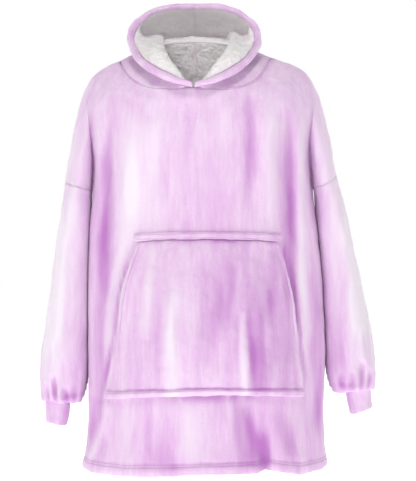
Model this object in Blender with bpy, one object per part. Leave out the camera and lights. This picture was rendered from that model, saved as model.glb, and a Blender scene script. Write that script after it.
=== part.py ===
"""Wearable blanket hoodie in plush with a sherpa lining, filled out as if worn.

Metres, +Z up, the front faces -Y. The origin is on the shoulder line between front and back,
where the wearer's shoulders carry the garment. Every cloth piece is a closed wall, built from
a grid of points on its outer face and the same grid moved in by the cloth's thickness.
"""
import math
from collections import namedtuple

import bmesh
import bpy
import numpy as np
from mathutils import Vector
from mathutils.bvhtree import BVHTree

# Cloth thicknesses and seams
WALL = 0.004
HOOD_OUTER_WALL = 0.0017
HOOD_LINING_WALL = 0.0032
LINING_WALL = 0.003
SEAM_GAP = 0.0003
NECK_SEAM_GAP = 0.0005
MIDDLE_OF_SEAM = SEAM_GAP / 2

# Turned hem at the bottom of the body
HEM_EXTRA = 0.0015

# Grid steps
ARM_STEPS = 10
TORSO_STEPS = 11
YOKE_STEPS = 9
TORSO_LEVELS = [-0.305, -0.355, -0.405, -0.455, -0.51, -0.565, -0.62, -0.675, -0.73, -0.78,
                -0.8255, -0.828, -0.847]

# Roundness of the level sections, 2 is an ellipse and more is boxier
FRONT_ROUNDNESS = 2.5
BACK_ROUNDNESS = 2.4
ARM_ROUNDNESS = 2.2
VALLEY_FLOOR = 0.001
CREASE_WALL = 0.0018
CREASE_COLUMNS = 4
CREASE_TURN = 2.2
VALLEY_DEPTH_LEFT = 0.002

# Rows of the upper body, from the neckline down to the armhole seams. Left and right are the
# shoulder line that runs over the arm, crease is where the arm meets the chest, pinch is how
# far the crease has closed, and bend is how fast a row turns level on its way to the middle.
YokeRow = namedtuple("YokeRow", "left_x left_z right_x right_z left_crease right_crease pinch "
                     "middle_x front_z back_z front_y back_y arm_y front_bend back_bend")
YOKE = [
    YokeRow(-0.178, 0.000, 0.145, 0.008, -0.152, 0.119, 0.00,
            -0.018, -0.067, 0.053, 0.110, 0.085, 0.050, 4.8, 2.6),
    YokeRow(-0.212, -0.013, 0.208, -0.014, -0.186, 0.182, 0.00,
            -0.017, -0.088, 0.028, 0.117, 0.094, 0.055, 4.0, 2.4),
    YokeRow(-0.236, -0.038, 0.229, -0.040, -0.215, 0.209, 0.00,
            -0.015, -0.112, -0.002, 0.122, 0.101, 0.060, 3.4, 2.4),
    YokeRow(-0.254, -0.074, 0.245, -0.076, -0.238, 0.228, 0.02,
            -0.012, -0.140, -0.040, 0.126, 0.107, 0.064, 3.0, 2.4),
    YokeRow(-0.264, -0.112, 0.254, -0.111, -0.233, 0.224, 0.13,
            -0.009, -0.170, -0.085, 0.129, 0.110, 0.068, 3.0, 2.6),
    YokeRow(-0.273, -0.155, 0.264, -0.150, -0.229, 0.221, 0.45,
            -0.006, -0.203, -0.135, 0.131, 0.111, 0.071, 3.6, 3.2),
    YokeRow(-0.281, -0.203, 0.271, -0.194, -0.228, 0.224, 0.82,
            -0.003, -0.238, -0.196, 0.132, 0.111, 0.073, 5.0, 5.0),
    YokeRow(-0.288, -0.252, 0.278, -0.239, -0.232, 0.231, 1.00,
            0.000, -0.274, -0.272, 0.132, 0.110, 0.074, 8.0, 8.0),
]

# Level sections of the body below the armholes
TorsoRow = namedtuple("TorsoRow", "z left_x right_x middle_x front_y back_y")
TORSO = [
    TorsoRow(-0.274, -0.2320, 0.2310, 0.000, 0.132, 0.110),
    TorsoRow(-0.330, -0.2345, 0.2345, 0.001, 0.133, 0.110),
    TorsoRow(-0.420, -0.2375, 0.2450, 0.003, 0.138, 0.114),
    TorsoRow(-0.500, -0.2385, 0.2500, 0.005, 0.145, 0.121),
    TorsoRow(-0.580, -0.2385, 0.2540, 0.006, 0.152, 0.129),
    TorsoRow(-0.660, -0.2380, 0.2525, 0.006, 0.159, 0.138),
    TorsoRow(-0.740, -0.2375, 0.2495, 0.005, 0.166, 0.147),
    TorsoRow(-0.790, -0.2390, 0.2530, 0.004, 0.171, 0.153),
    TorsoRow(-0.847, -0.2540, 0.2600, 0.003, 0.177, 0.160),
]

# Soft folds of the body: rise is outward, so a valley is negative
Fold = namedtuple("Fold", "top_x top_z bottom_x bottom_z half_width rise")
FRONT_FOLDS = [
    Fold(-0.190, -0.110, -0.196, -0.570, 0.024, -0.013),
    Fold(-0.146, -0.130, -0.150, -0.345, 0.030, 0.007),
    Fold(0.098, -0.075, 0.092, -0.320, 0.026, -0.006),
    Fold(0.138, -0.100, 0.140, -0.345, 0.022, 0.006),
    Fold(0.172, -0.110, 0.184, -0.580, 0.022, -0.013),
    Fold(0.074, -0.715, 0.112, -0.900, 0.030, -0.019),
    Fold(0.165, -0.740, 0.185, -0.900, 0.032, 0.010),
    Fold(0.010, -0.760, 0.006, -0.900, 0.045, 0.007),
    Fold(-0.080, -0.770, -0.086, -0.900, 0.034, -0.008),
    Fold(-0.150, -0.740, -0.160, -0.900, 0.032, 0.007),
    Fold(-0.196, -0.690, -0.225, -0.880, 0.020, 0.011),
]
BACK_FOLDS = [
    Fold(-0.165, -0.120, -0.180, -0.560, 0.028, -0.010),
    Fold(0.160, -0.100, 0.172, -0.590, 0.028, -0.011),
    Fold(-0.070, -0.130, -0.060, -0.420, 0.030, 0.005),
    Fold(0.060, -0.300, 0.085, -0.900, 0.040, -0.012),
    Fold(-0.040, -0.480, -0.045, -0.900, 0.042, 0.011),
    Fold(-0.120, -0.560, -0.135, -0.900, 0.034, -0.012),
    Fold(-0.190, -0.600, -0.205, -0.900, 0.028, 0.008),
    Fold(0.150, -0.620, 0.165, -0.900, 0.036, 0.012),
]

# Rings of each sleeve below the armhole seam, down to the widest ring of the puff
SleeveRow = namedtuple("SleeveRow", "outer_x outer_z inner_x inner_z front_y back_y")
SLEEVE_ROWS = {
    "left": [
        SleeveRow(-0.2960, -0.304, -0.2350, -0.312, 0.074, 0.074),
        SleeveRow(-0.3030, -0.356, -0.2370, -0.360, 0.075, 0.074),
        SleeveRow(-0.3110, -0.407, -0.2388, -0.410, 0.077, 0.075),
        SleeveRow(-0.3180, -0.458, -0.2396, -0.459, 0.079, 0.076),
        SleeveRow(-0.3245, -0.508, -0.2400, -0.508, 0.081, 0.078),
        SleeveRow(-0.3330, -0.559, -0.2400, -0.556, 0.083, 0.080),
        SleeveRow(-0.3400, -0.609, -0.2400, -0.602, 0.083, 0.080),
        SleeveRow(-0.3430, -0.652, -0.2405, -0.643, 0.079, 0.077),
    ],
    "right": [
        SleeveRow(0.2960, -0.296, 0.2355, -0.300, 0.074, 0.074),
        SleeveRow(0.3075, -0.348, 0.2398, -0.350, 0.075, 0.074),
        SleeveRow(0.3180, -0.398, 0.2455, -0.400, 0.077, 0.075),
        SleeveRow(0.3285, -0.448, 0.2495, -0.449, 0.079, 0.076),
        SleeveRow(0.3390, -0.498, 0.2520, -0.498, 0.081, 0.078),
        SleeveRow(0.3500, -0.547, 0.2545, -0.545, 0.083, 0.080),
        SleeveRow(0.3590, -0.596, 0.2560, -0.588, 0.083, 0.080),
        SleeveRow(0.3635, -0.637, 0.2570, -0.622, 0.079, 0.077),
    ],
}

# Cuff: a tube from its gathered top to its open end
CuffRow = namedtuple("CuffRow", "outer_x outer_z inner_x inner_z front_y back_y")
CUFF_ROWS = {
    "left": [
        CuffRow(-0.3305, -0.697, -0.2770, -0.704, 0.034, 0.032),
        CuffRow(-0.3305, -0.730, -0.2810, -0.737, 0.032, 0.031),
        CuffRow(-0.3300, -0.7560, -0.2860, -0.763, 0.030, 0.029),
    ],
    "right": [
        CuffRow(0.3490, -0.669, 0.2960, -0.684, 0.034, 0.032),
        CuffRow(0.3525, -0.702, 0.3030, -0.716, 0.032, 0.031),
        CuffRow(0.3555, -0.7265, 0.3095, -0.7395, 0.030, 0.029),
    ],
}
CUFF_STEPS = 4
CUFF_TOP_TUCK = 0.004

# Puff of the sleeve over its cuff: how far each ring has closed from the puff to the cuff,
# and how far it hangs below the straight line between them
PuffRow = namedtuple("PuffRow", "closed drop tuck")
PUFF_ROWS = [
    PuffRow(0.10, 0.026, 0.10),
    PuffRow(0.28, 0.044, 0.30),
    PuffRow(0.55, 0.050, 0.70),
    PuffRow(0.80, 0.036, 0.75),
]
PUFF_WALLS = [0.0032, 0.0022, 0.0016, 0.0013, 0.0013]
PUFF_LEVEL_SHIFT = 0.012
TUCK_SHARE = 0.38
TUCK_SHARE_MOST = 0.5
TUCK_RISE = 0.007
# Turns are round the sleeve, 0 over the arm, a quarter at the front
Tuck = namedtuple("Tuck", "turn width depth")
TUCKS = [
    Tuck(0.175, 0.040, 1.6),
    Tuck(0.300, 0.030, 0.6),
    Tuck(0.400, 0.030, 0.9),
    Tuck(0.500, 0.030, 1.0),
    Tuck(0.610, 0.034, 0.9),
    Tuck(0.720, 0.034, 1.2),
    Tuck(0.820, 0.036, 0.3),
    Tuck(0.920, 0.034, 0.1),
]

# Hood, half by half. Out is the distance from the hood's middle plane. Each station is a
# section from the neck seam, as (out, y, z) places: the stand leans in, the roll turns over
# its crest and falls out to the rim; towards the back the fall deepens into the pouch.
# The roll of the right half lies further out and higher, by the last two columns.
HOOD_MIDDLE_X = -0.0185
Station = namedtuple("Station", "turn stand inner crest fall wall rim right_out right_rise")
HOOD = [
    Station(0.00, (0.0165, -0.1095, -0.0640), (0.0155, -0.1095, -0.0620),
            (0.0145, -0.1100, -0.0602), (0.0135, -0.1110, -0.0592),
            (0.0130, -0.1125, -0.0588), (0.0125, -0.1142, -0.0590), 0.0, 0.0),
    Station(0.15, (0.056, -0.097, -0.055), (0.026, -0.092, -0.044), (0.029, -0.098, -0.034),
            (0.036, -0.103, -0.033), (0.040, -0.106, -0.036), (0.043, -0.108, -0.040),
            0.000, 0.000),
    Station(0.22, (0.074, -0.087, -0.046), (0.037, -0.080, -0.028), (0.043, -0.087, -0.014),
            (0.054, -0.093, -0.014), (0.061, -0.098, -0.020), (0.066, -0.100, -0.028),
            0.001, 0.000),
    Station(0.30, (0.090, -0.071, -0.030), (0.046, -0.066, -0.012), (0.055, -0.072, 0.004),
            (0.071, -0.077, 0.003), (0.081, -0.081, -0.005), (0.088, -0.083, -0.013),
            0.004, 0.001),
    Station(0.38, (0.104, -0.051, -0.009), (0.054, -0.048, 0.008), (0.065, -0.052, 0.025),
            (0.087, -0.056, 0.020), (0.099, -0.059, 0.010), (0.108, -0.060, 0.002),
            0.007, 0.002),
    Station(0.46, (0.112, -0.027, 0.010), (0.059, -0.028, 0.024), (0.073, -0.030, 0.044),
            (0.099, -0.032, 0.037), (0.112, -0.033, 0.028), (0.122, -0.032, 0.020),
            0.011, 0.004),
    Station(0.51, (0.121, 0.000, 0.018), (0.059, -0.010, 0.034), (0.078, -0.008, 0.058),
            (0.105, -0.008, 0.050), (0.119, -0.009, 0.042), (0.126, -0.010, 0.036),
            0.013, 0.008),
    Station(0.58, (0.124, 0.030, 0.027), (0.056, 0.015, 0.043), (0.076, 0.020, 0.067),
            (0.106, 0.032, 0.052), (0.121, 0.024, 0.050), (0.1280, 0.008, 0.053),
            0.015, 0.012),
    Station(0.66, (0.108, 0.050, 0.039), (0.056, 0.044, 0.049), (0.068, 0.058, 0.070),
            (0.106, 0.082, 0.052), (0.125, 0.074, 0.076), (0.119, 0.030, 0.082),
            0.014, 0.012),
    Station(0.74, (0.092, 0.070, 0.048), (0.073, 0.081, 0.056), (0.071, 0.104, 0.067),
            (0.096, 0.126, 0.056), (0.114, 0.112, 0.104), (0.100, 0.050, 0.105),
            0.003, 0.006),
    Station(0.82, (0.074, 0.085, 0.055), (0.070, 0.106, 0.060), (0.068, 0.136, 0.060),
            (0.078, 0.165, 0.067), (0.084, 0.140, 0.117), (0.074, 0.062, 0.119),
            0.000, 0.001),
    Station(1.00, (0.000, 0.091, 0.061), (0.000, 0.114, 0.064), (0.000, 0.162, 0.057),
            (0.000, 0.200, 0.084), (0.000, 0.162, 0.127), (0.000, 0.080, 0.129), 0.0, 0.0),
]
HOOD_ROWS_EACH = 2
HOOD_SKIP = 5
HOOD_EASING = 5
RIM_HALF_WIDTH = 0.0094
RIM_HALF_THICKNESS = 0.0070
RIM_SIDES = 8
RIM_GAP = 0.0006
RIM_SMOOTHING = 5
NORMAL_SMOOTHING = 4
RIM_END = (0.0030, -0.1195, -0.0610)
RIM_END_SHARE = 0.85

# Kangaroo pocket on the front, flat corners at real places
POCKET_TOP_Z = -0.3765
OPENING_END_Z = (-0.560, -0.566)
POCKET_BOTTOM_Z = (-0.696, -0.691)
POCKET_EDGES = (
    ((-0.6960, -0.2010), (-0.5600, -0.1745), (-0.5090, -0.1710), (-0.4490, -0.1580),
     (-0.3765, -0.1330)),
    ((-0.6910, 0.2080), (-0.5660, 0.1920), (-0.4890, 0.1860), (-0.4435, 0.1730),
     (-0.3765, 0.1530)),
)
POCKET_ARCH = 0.009
POCKET_WALL = 0.004
POCKET_BULGE = 0.020
OPENING_GAPE = 0.62
POCKET_COLUMNS = 18
POCKET_LEVELS = 12
POCKET_HEM_HEIGHT = 0.0145
POCKET_HEM_EXTRA = 0.0035
BAND_HEIGHT = 0.0155
BAND_THICKNESS = 0.0075
BAND_SIDES = 8
BAND_OVERHANG = 0.007
LAY_SAMPLES = 9
LAY_ROUNDS = 8
LAY_SHARE = 0.7
POCKET_FOLDS = [
    Fold(-0.066, -0.480, -0.068, -0.760, 0.022, 0.006),
    Fold(0.090, -0.570, 0.094, -0.760, 0.020, 0.008),
    Fold(0.122, -0.560, 0.124, -0.760, 0.018, -0.006),
    Fold(-0.140, -0.400, -0.170, -0.700, 0.022, 0.004),
    Fold(0.010, -0.400, 0.010, -0.600, 0.050, -0.004),
]

# Lining of the upper back, seen through the neck
LINING_COLUMNS = 6
LINING_ROWS = 6
LINING_TOP_SHARE = 0.03

COLOURS = {
    "plush": (0.80, 0.60, 0.83, 1.0),
    "sherpa": (0.86, 0.82, 0.80, 1.0),
}
PLUSH_ROUGHNESS = 0.9
SHERPA_ROUGHNESS = 1.0


# Curves through table rows
def curve(keys, values, at):
    """Smooth curve through the values at rising keys, level of slope from its neighbours."""
    keys = np.asarray(keys, float)
    values = np.asarray(values, float)
    slopes = np.gradient(values, keys, axis=0)
    index = int(np.clip(np.searchsorted(keys, at) - 1, 0, len(keys) - 2))
    span = keys[index + 1] - keys[index]
    t = (at - keys[index]) / span
    start, end = values[index], values[index + 1]
    start_slope, end_slope = slopes[index] * span, slopes[index + 1] * span
    return ((2 * t**3 - 3 * t**2 + 1) * start + (t**3 - 2 * t**2 + t) * start_slope
            + (3 * t**2 - 2 * t**3) * end + (t**3 - t**2) * end_slope)


def blended_row(table, at, key=None):
    """A row of the table between its rows, at a fractional index or at a value of one key."""
    values = np.array(table, float)
    if key is None:
        keys = np.arange(len(table))
    else:
        column = table[0]._fields.index(key)
        order = np.argsort(values[:, column])
        values = values[order]
        keys = values[:, column]
    return type(table[0])(*curve(keys, values, at))


def smooth_step(value):
    value = np.clip(value, 0.0, 1.0)
    return value * value * (3 - 2 * value)


def oval(offset, half_width, depth, roundness):
    """Depth of an oval section at an offset from its middle."""
    share = min(abs(offset / half_width), 1.0)
    return depth * (1 - share**roundness) ** (1 / roundness)


def fold_rise(folds, x, z):
    """Outward rise that the folds give at a place on the panel."""
    total = 0.0
    for fold in folds:
        along = (z - fold.top_z) / (fold.bottom_z - fold.top_z)
        if not 0.0 < along < 1.0:
            continue
        middle = fold.top_x + (fold.bottom_x - fold.top_x) * along
        across = (x - middle) / fold.half_width
        if abs(across) >= 1.5:
            continue
        taper = math.sin(math.pi * along) ** 0.6
        total += fold.rise * taper * math.exp(-2.0 * across * across)
    return total


# Meshes and materials
def material(name, colour, roughness):
    made = bpy.data.materials.new(name)
    made.use_nodes = True
    shader = made.node_tree.nodes["Principled BSDF"]
    shader.inputs["Base Color"].default_value = colour
    shader.inputs["Roughness"].default_value = roughness
    shader.inputs["Metallic"].default_value = 0.0
    return made


def add_object(name, points, faces, finish):
    """Mesh object from points and faces, with its faces turned outwards."""
    mesh = bpy.data.meshes.new(name)
    mesh.from_pydata([tuple(point) for point in points], [], faces)
    solid = bmesh.new()
    solid.from_mesh(mesh)
    bmesh.ops.recalc_face_normals(solid, faces=solid.faces)
    solid.to_mesh(mesh)
    solid.free()
    mesh.shade_smooth()
    mesh.set_sharp_from_angle(angle=math.radians(50))
    mesh.materials.append(finish)
    made = bpy.data.objects.new(name, mesh)
    bpy.context.collection.objects.link(made)
    return made


def diagonal_key(point):
    """Order of two points that lie a seam gap apart on both pieces, so both split alike."""
    return point[0] + 0.37 * point[1] + 0.19 * point[2]


def wall_between(name, outer, inner, quads, finish):
    """Closed cloth wall between an outer and an inner sheet of the same quads."""
    count = len(outer)
    points = list(outer) + list(inner)
    faces = []
    edges = {}
    for quad in quads:
        a, b, c, d = quad
        faces += [[a, b, c], [a, c, d]]
        faces += [[count + a, count + c, count + b], [count + a, count + d, count + c]]
        for here, there in zip(quad, quad[1:] + quad[:1]):
            edges[(here, there)] = True
    for here, there in edges:
        if (there, here) in edges:
            continue
        if diagonal_key(outer[here]) < diagonal_key(outer[there]):
            faces.append([there, here, count + there])
            faces.append([here, count + here, count + there])
        else:
            faces.append([there, here, count + here])
            faces.append([there, count + here, count + there])
    return add_object(name, points, faces, finish)


def grid_quads(rows, columns, closed=False):
    """Quads of a grid of points in reading order."""
    last = columns if closed else columns - 1
    return [[row * columns + column, row * columns + (column + 1) % columns,
             (row + 1) * columns + (column + 1) % columns, (row + 1) * columns + column]
            for row in range(rows - 1) for column in range(last)]


def mirrored(quads):
    """The same quads, split into triangles along their other diagonal."""
    return [quad[1:] + quad[:1] for quad in quads]


def grid_normals(grid, closed=False):
    """Unit normals of a grid of points, by its neighbours; turned outward by the caller."""
    down = np.gradient(grid, axis=0)
    if closed:
        across = np.roll(grid, -1, axis=1) - np.roll(grid, 1, axis=1)
    else:
        across = np.gradient(grid, axis=1)
    normals = np.cross(across, down)
    return normals / np.linalg.norm(normals, axis=2, keepdims=True)


# Body: front and back panels, each with its upper arms
def yoke_half(row, side, face, pinch):
    """One half of a row, from the seam over the arm to the middle, as arm and chest points."""
    outer_x = row.left_x if side == "left" else row.right_x
    outer_z = row.left_z if side == "left" else row.right_z
    crease_x = row.left_crease if side == "left" else row.right_crease
    inward = 1 if side == "left" else -1
    depth = row.front_y if face == "front" else row.back_y
    middle_z = row.front_z if face == "front" else row.back_z
    bend = row.front_bend if face == "front" else row.back_bend
    roundness = FRONT_ROUNDNESS if face == "front" else BACK_ROUNDNESS
    folds = FRONT_FOLDS if face == "front" else BACK_FOLDS
    towards = -1 if face == "front" else 1
    whole = abs(row.middle_x - outer_x)
    arm_edge = crease_x - inward * VALLEY_FLOOR
    chest_edge = crease_x + inward * VALLEY_FLOOR
    arm_middle = (outer_x + arm_edge) / 2
    arm_half = abs(arm_edge - outer_x) / 2
    chest_half = abs(row.middle_x - chest_edge)

    def point(x, parted):
        single = oval(x - row.middle_x, whole, depth, ARM_ROUNDNESS)
        y = single * (1 - pinch) + parted * pinch
        y = max(y, VALLEY_DEPTH_LEFT if abs(x - outer_x) > VALLEY_FLOOR else 0.0)
        share = abs(x - outer_x) / whole
        z = outer_z + (middle_z - outer_z) * (1 - (1 - share) ** bend)
        y += fold_rise(folds, x, z) * smooth_step(y / 0.03)
        return (x, towards * max(y, MIDDLE_OF_SEAM), z)

    arm = []
    for step in range(ARM_STEPS + 1):
        x = arm_middle - (arm_middle - outer_x) * math.cos(math.pi * step / ARM_STEPS)
        arm.append(point(x, oval(x - arm_middle, arm_half, row.arm_y, ARM_ROUNDNESS)))
    chest = []
    for step in range(TORSO_STEPS + 1):
        x = chest_edge + inward * chest_half * (1 - math.cos(math.pi / 2 * step / TORSO_STEPS))
        chest.append(point(x, oval(x - row.middle_x, chest_half, depth, roundness)))
    return arm, chest


def torso_half(row, side, face):
    """One half of a level section below the armholes, from the side seam to the middle."""
    outer_x = row.left_x if side == "left" else row.right_x
    inward = 1 if side == "left" else -1
    depth = row.front_y if face == "front" else row.back_y
    roundness = FRONT_ROUNDNESS if face == "front" else BACK_ROUNDNESS
    towards = -1 if face == "front" else 1
    half = abs(row.middle_x - outer_x)
    points = []
    for step in range(TORSO_STEPS + 1):
        x = outer_x + inward * half * (1 - math.cos(math.pi / 2 * step / TORSO_STEPS))
        points.append(torso_point(x, row, half, depth, roundness, towards))
    return points


def torso_point(x, row, half, depth, roundness, towards):
    folds = FRONT_FOLDS if towards < 0 else BACK_FOLDS
    y = oval(x - row.middle_x, half, depth, roundness)
    y += fold_rise(folds, x, row.z) * smooth_step(y / 0.03)
    return (x, towards * max(y, MIDDLE_OF_SEAM), row.z)


def surface_y(surface, x, z):
    """Depth of a panel's outer face straight behind a place seen from the front."""
    return surface.ray_cast(Vector((x, -1.0, z)), Vector((0.0, 1.0, 0.0)))[0].y


def laid_on(sheet, surface):
    """Inner points of a piece drawn off the panel until all of it is a seam gap clear."""
    rows, columns = sheet.shape[:2]
    steps = np.linspace(0.0, 1.0, LAY_SAMPLES)
    for _ in range(LAY_ROUNDS):
        lift = np.zeros((rows, columns))
        for row in range(rows - 1):
            for column in range(columns - 1):
                a, b = sheet[row, column], sheet[row, column + 1]
                c, d = sheet[row + 1, column + 1], sheet[row + 1, column]
                worst = 0.0
                for u in steps:
                    for v in steps:
                        if u >= v:
                            point = a + (b - a) * (u - v) + (c - a) * v
                        else:
                            point = a + (c - a) * u + (d - a) * (v - u)
                        clear = surface_y(surface, point[0], point[2]) - SEAM_GAP
                        worst = max(worst, point[1] - clear)
                corners = lift[row:row + 2, column:column + 2]
                np.maximum(corners, worst, out=corners)
        sheet[:, :, 1] -= lift * LAY_SHARE
    sheet[:, :, 1] -= lift * (1 - LAY_SHARE)
    return sheet


def body_grids(face, creased=True):
    """Arm grids and chest grid of a panel: rows down, columns from the left to the right."""
    arms = {"left": [], "right": []}
    chest = []
    for step in range(YOKE_STEPS + 1):
        row = blended_row(YOKE, step * (len(YOKE) - 1) / YOKE_STEPS)
        pinch = row.pinch if creased else 0.0
        left_arm, left_chest = yoke_half(row, "left", face, pinch)
        right_arm, right_chest = yoke_half(row, "right", face, pinch)
        arms["left"].append(left_arm)
        arms["right"].append(right_arm[::-1])
        chest.append(left_chest + right_chest[-2::-1])
    for z in TORSO_LEVELS:
        row = blended_row(TORSO, z, "z")
        chest.append(torso_half(row, "left", face) + torso_half(row, "right", face)[-2::-1])
    return np.array(arms["left"]), np.array(chest), np.array(arms["right"])


def turn_out(normals, face):
    """Normals that point away from the body, and lie level across the seams over the arms."""
    middle = normals[len(normals) // 2, normals.shape[1] // 2]
    if (middle[1] > 0) == (face == "front"):
        normals = -normals
    return normals


def body_panel(name, face, finish):
    """Front or back panel with its upper arms, and the armhole edges for the sleeves."""
    left_arm, chest, right_arm = body_grids(face)
    towards = -1 if face == "front" else 1
    normals = [turn_out(grid_normals(grid), face) for grid in (left_arm, chest, right_arm)]
    smooth = [turn_out(grid_normals(grid), face) for grid in body_grids(face, creased=False)]
    for part, plain in zip(normals, smooth):
        for step in range(YOKE_STEPS + 1):
            pinch = blended_row(YOKE, step * (len(YOKE) - 1) / YOKE_STEPS).pinch
            share = smooth_step(pinch * CREASE_TURN)
            part[step] = plain[step] * (1 - share) + part[step] * share
    normals[0][:, 0, 1] = 0
    normals[2][:, -1, 1] = 0
    normals[1][YOKE_STEPS + 1:, 0, 1] = 0
    normals[1][YOKE_STEPS + 1:, -1, 1] = 0
    for part in normals:
        part /= np.linalg.norm(part, axis=2, keepdims=True)

    outer, inner, quads = [], [], []
    for grid, normal in zip((left_arm, chest, right_arm), normals):
        start = len(outer)
        rows, columns = grid.shape[:2]
        extra = np.zeros((rows, columns, 1))
        if grid is chest:
            extra[-2:] = HEM_EXTRA
        wall = np.full((rows, columns, 1), WALL)
        for step in range(1, YOKE_STEPS):
            beside = CREASE_COLUMNS
            if grid is not right_arm:
                wall[step, -beside:] = CREASE_WALL
            if grid is not left_arm:
                wall[step, :beside] = CREASE_WALL
        outside = grid + normal * extra
        inside = grid - normal * (wall + extra)
        for sheet in (outside, inside):
            sheet[:, :, 1] = towards * np.maximum(towards * sheet[:, :, 1], MIDDLE_OF_SEAM)
        outer += list(outside.reshape(-1, 3))
        inner += list(inside.reshape(-1, 3))
        made = [[start + corner for corner in quad] for quad in grid_quads(rows, columns)]
        split = {ARM_STEPS + 1: 0 if grid is right_arm else ARM_STEPS}.get(columns, TORSO_STEPS)
        for number, quad in enumerate(made):
            right_half = number % (columns - 1) >= split
            quads.append(quad[1:] + quad[:1] if right_half else quad)
    arm_columns = ARM_STEPS + 1
    chest_columns = chest.shape[1]
    chest_start = left_arm.shape[0] * arm_columns
    right_start = chest_start + chest.shape[0] * chest_columns
    for row in range(YOKE_STEPS):
        left = row * arm_columns + ARM_STEPS
        beside = chest_start + row * chest_columns
        quads.append([left, beside, beside + chest_columns, left + arm_columns])
        beside = chest_start + row * chest_columns + chest_columns - 1
        right = right_start + row * arm_columns
        quads += mirrored([[beside, right, right + arm_columns, beside + chest_columns]])
    wall_between(name, outer, inner, quads, finish)
    whole = (left_arm, chest, right_arm)
    halves = [half for a, b, c, d in quads for half in ((a, b, c), (a, c, d))]
    surface = BVHTree.FromPolygons([tuple(point) for point in outer], halves)
    return {"grids": whole, "normals": normals, "surface": surface,
            "neck": np.concatenate([grid[0] for grid in whole]),
            "neck_normals": np.concatenate([normal[0] for normal in normals]),
            "neck_rise": np.concatenate([grid[0] - grid[1] for grid in whole])}


# Sleeves and cuffs
def ring_point(row, turn):
    """Point of a sleeve or cuff ring: turn 0 over the arm, a quarter at the front."""
    angle = 2 * math.pi * turn
    half_x = (row.inner_x - row.outer_x) / 2
    middle_x = (row.inner_x + row.outer_x) / 2
    across = math.copysign(abs(math.cos(angle)) ** (2 / ARM_ROUNDNESS), math.cos(angle))
    deep = math.copysign(abs(math.sin(angle)) ** (2 / ARM_ROUNDNESS), math.sin(angle))
    depth = row.front_y if deep > 0 else row.back_y
    share = (1 - across) / 2
    return np.array([middle_x - half_x * across, -depth * deep,
                     row.outer_z + (row.inner_z - row.outer_z) * share])


def ring_turns():
    """Turns of the ring columns that carry on the arm columns of the front and the back."""
    front = [step / (2 * ARM_STEPS) for step in range(ARM_STEPS + 1)]
    front[-1] -= 0.006
    back = [1 - turn for turn in front[:0:-1]]
    return front + back


def tuck_pull(turn):
    """How deep the gathers are pulled in at a turn round the sleeve."""
    pull = 0.0
    for tuck in TUCKS:
        away = abs((turn - tuck.turn + 0.5) % 1.0 - 0.5) / tuck.width
        pull += tuck.depth * math.exp(-2.0 * away * away)
    return pull


def sleeve_rings(side, front, back):
    """Outer rings of a sleeve from its armhole seam to its cuff."""
    index = 0 if side == "left" else 2
    front_edge = front["grids"][index][-1]
    back_edge = back["grids"][index][-1]
    front_normals = front["normals"][index][-1]
    back_normals = back["normals"][index][-1]
    if side == "right":
        front_edge, back_edge = front_edge[::-1], back_edge[::-1]
        front_normals, back_normals = front_normals[::-1], back_normals[::-1]
    first = np.concatenate([front_edge, back_edge[:0:-1]])
    first_normals = np.concatenate([front_normals, back_normals[:0:-1]])
    first[0, 1] = 0.0
    first[:, 2] -= SEAM_GAP
    turns = ring_turns()
    rings = [first]
    for row in SLEEVE_ROWS[side]:
        rings.append(np.array([ring_point(row, turn) for turn in turns]))
    puff = SLEEVE_ROWS[side][-1]
    cuff = blended_row(CUFF_ROWS[side], 0)
    for step in PUFF_ROWS:
        ring = []
        for turn in turns:
            wide = ring_point(puff, turn)
            narrow = ring_point(cuff, turn)
            pull = tuck_pull(turn) * step.tuck
            point = wide + (narrow - wide) * step.closed
            point += (narrow - point) * min(TUCK_SHARE * pull, TUCK_SHARE_MOST)
            point[2] = wide[2] + (narrow[2] - wide[2]) * smooth_step(step.closed * 1.6)
            point[2] -= step.drop * (1 - smooth_step(step.closed * 1.6)) + PUFF_LEVEL_SHIFT
            point[2] += TUCK_RISE * pull
            ring.append(point)
        rings.append(np.array(ring))
    return np.array(rings), first_normals


def cuff_ring(side, at, grow=0.0):
    row = blended_row(CUFF_ROWS[side], at)
    outward = 1 if row.outer_x > 0 else -1
    row = row._replace(outer_x=row.outer_x + outward * grow, inner_x=row.inner_x - outward * grow,
                       front_y=row.front_y + grow, back_y=row.back_y + grow)
    return np.array([ring_point(row, turn) for turn in ring_turns()])


def sleeve(side, front, back, finish):
    rings, first_normals = sleeve_rings(side, front, back)
    join = cuff_ring(side, 0, SEAM_GAP + 0.0003)
    join[:, 2] -= CUFF_TOP_TUCK
    rings = np.concatenate([rings, [join]])
    normals = grid_normals(rings, closed=True)
    middle = rings[4].mean(axis=0)
    if np.dot(normals[4, 0], rings[4, 0] - middle) < 0:
        normals = -normals
    normals[0] = first_normals
    walls = np.full((len(rings), 1, 1), WALL)
    walls[-len(PUFF_WALLS):, 0, 0] = PUFF_WALLS
    inner = rings - normals * walls
    half = ARM_STEPS
    inner[0, 1:half + 1, 1] = np.minimum(inner[0, 1:half + 1, 1], -MIDDLE_OF_SEAM)
    inner[0, half + 1:, 1] = np.maximum(inner[0, half + 1:, 1], MIDDLE_OF_SEAM)
    inner[-1] = join + np.array([0, 0, PUFF_WALLS[-1]])
    count = rings.shape[1]
    wall_between(f"sleeve_{side}", list(rings.reshape(-1, 3)), list(inner.reshape(-1, 3)),
                 grid_quads(len(rings), count, closed=True), finish)


def cuff(side, finish):
    last = len(CUFF_ROWS[side]) - 1
    rings = np.array([cuff_ring(side, last * step / CUFF_STEPS) for step in range(CUFF_STEPS + 1)])
    inner = np.array([cuff_ring(side, last * step / CUFF_STEPS, -WALL)
                      for step in range(CUFF_STEPS + 1)])
    wall_between(f"cuff_{side}", list(rings.reshape(-1, 3)), list(inner.reshape(-1, 3)),
                 grid_quads(len(rings), rings.shape[1], closed=True), finish)


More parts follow.
